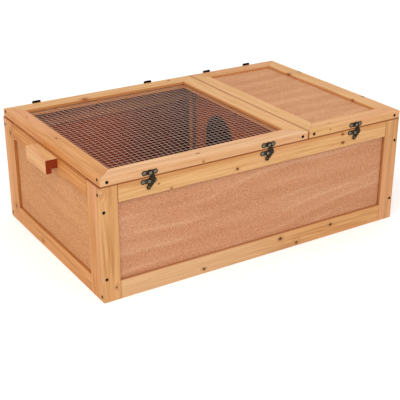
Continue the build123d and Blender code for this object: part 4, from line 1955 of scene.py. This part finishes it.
@dataclass(frozen=True)
class MattPaint:
    """Floor rolled with matt near-white paint, a touch thicker in places.

    Its glow grows away from the house, so that the eye sees plain white with the house's
    soft shadow on it.
    """

    name: str = "pale_floor_painted"
    thin: str = "#F4F4F3"
    thick: str = "#F8F8F7"
    patch_size: float = 333.3 * MM
    glow_reach: tuple[float, float] = (1.3, 3.6)
    glow: tuple[float, float] = (0.24, 0.8)

    def build(self) -> bpy.types.Material:
        """Builds the material: paint, and a glow for camera rays alone.

        Returns:
            The finish of the floor.
        """
        recipe = Recipe(bpy.data.materials.new(self.name))
        coats = recipe.patches((self.patch_size,) * 3, 0.0)
        paint = recipe.add("BsdfDiffuse", {"Color": recipe.stain(linear(self.thin), self.thick, coats)})
        away = recipe.add("VectorMath", (recipe.coords,), "Value", operation="LENGTH")
        level = recipe.add("MapRange", (away, *self.glow_reach, *self.glow))
        camera_ray = recipe.add("LightPath", output="Is Camera Ray")
        seen = recipe.add("Math", (level, camera_ray), operation="MULTIPLY")
        glow = recipe.add("Emission", {"Color": (1, 1, 1, 1), "Strength": seen})
        recipe.add("OutputMaterial", {"Surface": recipe.add("AddShader", (paint, glow))})
        return recipe.owner


@dataclass(frozen=True)
class Lamp:
    """Soft square lamp: where it stands, the side of its face and its power in watts."""

    name: str
    place: Point
    size: float
    power: float


@dataclass
class Studio:
    """Pale floor, white surroundings, soft lamps, and the camera at the photograph's angle."""

    camera_place: Point = (-1.30684, -2.07950, 1.15964)
    camera_aim: Point = (0.48438, 0.77220, -0.41119)
    lens: float = 82.5
    sensor: float = 36.0
    farthest: float = 50.0
    world_strength: float = 0.72
    lamp_aim: Point = (0.0, 0.0, 0.15)
    lamps: tuple[Lamp, ...] = (
        Lamp("key_lamp", (-1.9, -2.3, 3.4), 2.4, 62.0),
        Lamp("left_lamp", (-3.6, -0.3, 1.7), 2.0, 21.0),
        Lamp("fill_lamp", (2.6, -2.4, 2.2), 2.4, 12.0),
    )
    floor_radius: float = 14.0
    floor_rings: int = 8
    floor_sides: int = 64

    def stand(
        self, name: str, data: bpy.types.Camera | bpy.types.Light, place: Point, aim: Vector
    ) -> bpy.types.Object:
        """Stands a camera or a lamp in the scene, with its top up.

        Args:
            name: its name.
            data: the camera or the lamp.
            place: where it stands.
            aim: direction that it looks in.

        Returns:
            Its object.
        """
        thing = bpy.data.objects.new(name, data)
        thing.location = place
        thing.rotation_mode = "QUATERNION"
        thing.rotation_quaternion = aim.to_track_quat("-Z", "Y")
        bpy.context.scene.collection.objects.link(thing)
        return thing

    def build_camera(self) -> None:
        """Adds the camera, which looks along its aim with the horizon level."""
        data = bpy.data.cameras.new("camera")
        data.lens = self.lens
        data.sensor_width = self.sensor
        data.clip_end = self.farthest
        bpy.context.scene.camera = self.stand("camera", data, self.camera_place, Vector(self.camera_aim))

    def build_world(self) -> None:
        """Adds the surroundings: white for camera, mirror and glass rays, and a level light for the rest."""
        recipe = Recipe(bpy.data.worlds.new("white_surround"))
        seen = recipe.add("LightPath", output="Is Camera Ray")
        for kind in ("Is Glossy Ray", "Is Transmission Ray"):
            seen = recipe.add("Math", (seen, recipe.add("LightPath", output=kind)), operation="MAXIMUM")
        strength = recipe.add("MapRange", {0: seen, 3: self.world_strength, 4: 1.0})
        white = recipe.add("Background", {"Color": (1, 1, 1, 1), "Strength": strength})
        recipe.add("OutputWorld", {"Surface": white})
        bpy.context.scene.world = recipe.owner

    def build_lamps(self) -> None:
        """Adds the lamps, which face the house."""
        for lamp in self.lamps:
            data = bpy.data.lights.new(lamp.name, "AREA")
            data.size = lamp.size
            data.energy = lamp.power
            self.stand(lamp.name, data, lamp.place, Vector(self.lamp_aim) - Vector(lamp.place))

    def build_floor(self) -> None:
        """Adds the floor, a wide disc: x = r cos a, y = r sin a."""
        share = np.linspace(0, 1, self.floor_rings)[:, None] * self.floor_radius
        angle = np.linspace(0, 2 * np.pi, self.floor_sides, endpoint=False)
        flat = np.zeros((self.floor_rings, self.floor_sides))
        points = np.stack([share * np.cos(angle), share * np.sin(angle), flat], axis=-1)
        floor = Surface.grid(points).to_object("studio_floor", MattPaint().build())

    def build(self) -> None:
        """Sets up camera, world, lamps and floor."""
        self.build_camera()
        self.build_world()
        self.build_lamps()
        self.build_floor()
        bpy.context.scene.view_settings.view_transform = "Standard"


def main() -> None:
    """Builds the house's looks in order and reports each piece."""
    logging.basicConfig(level=logging.INFO, format="%(name)s: %(message)s")
    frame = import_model()
    Studio().build()
    Woodwork().dress(frame["record"], frame["nodes"])
    bronze = AntiqueBronze().build()
    steel = BlackenedSteel().build()
    mesh = WireMesh().build(GalvanisedWire().build())
    LOG.info("made %s", mesh.name)
    for number, lid in ((1, "mesh_lid"), (2, "mesh_lid"), (3, "solid_lid")):
        for piece in HookLatch(number, lid).build(frame["nodes"], bronze):
            LOG.info("made %s", piece.name)
    for number, lid in ((1, "mesh_lid"), (2, "mesh_lid"), (3, "solid_lid"), (4, "solid_lid")):
        for piece in ButtHinge(number, lid).build(bronze):
            LOG.info("made %s", piece.name)
    for group in ScrewPlan().groups():
        LOG.info("made %s", group.build(steel).name)


if __name__ == "__main__":
    main()
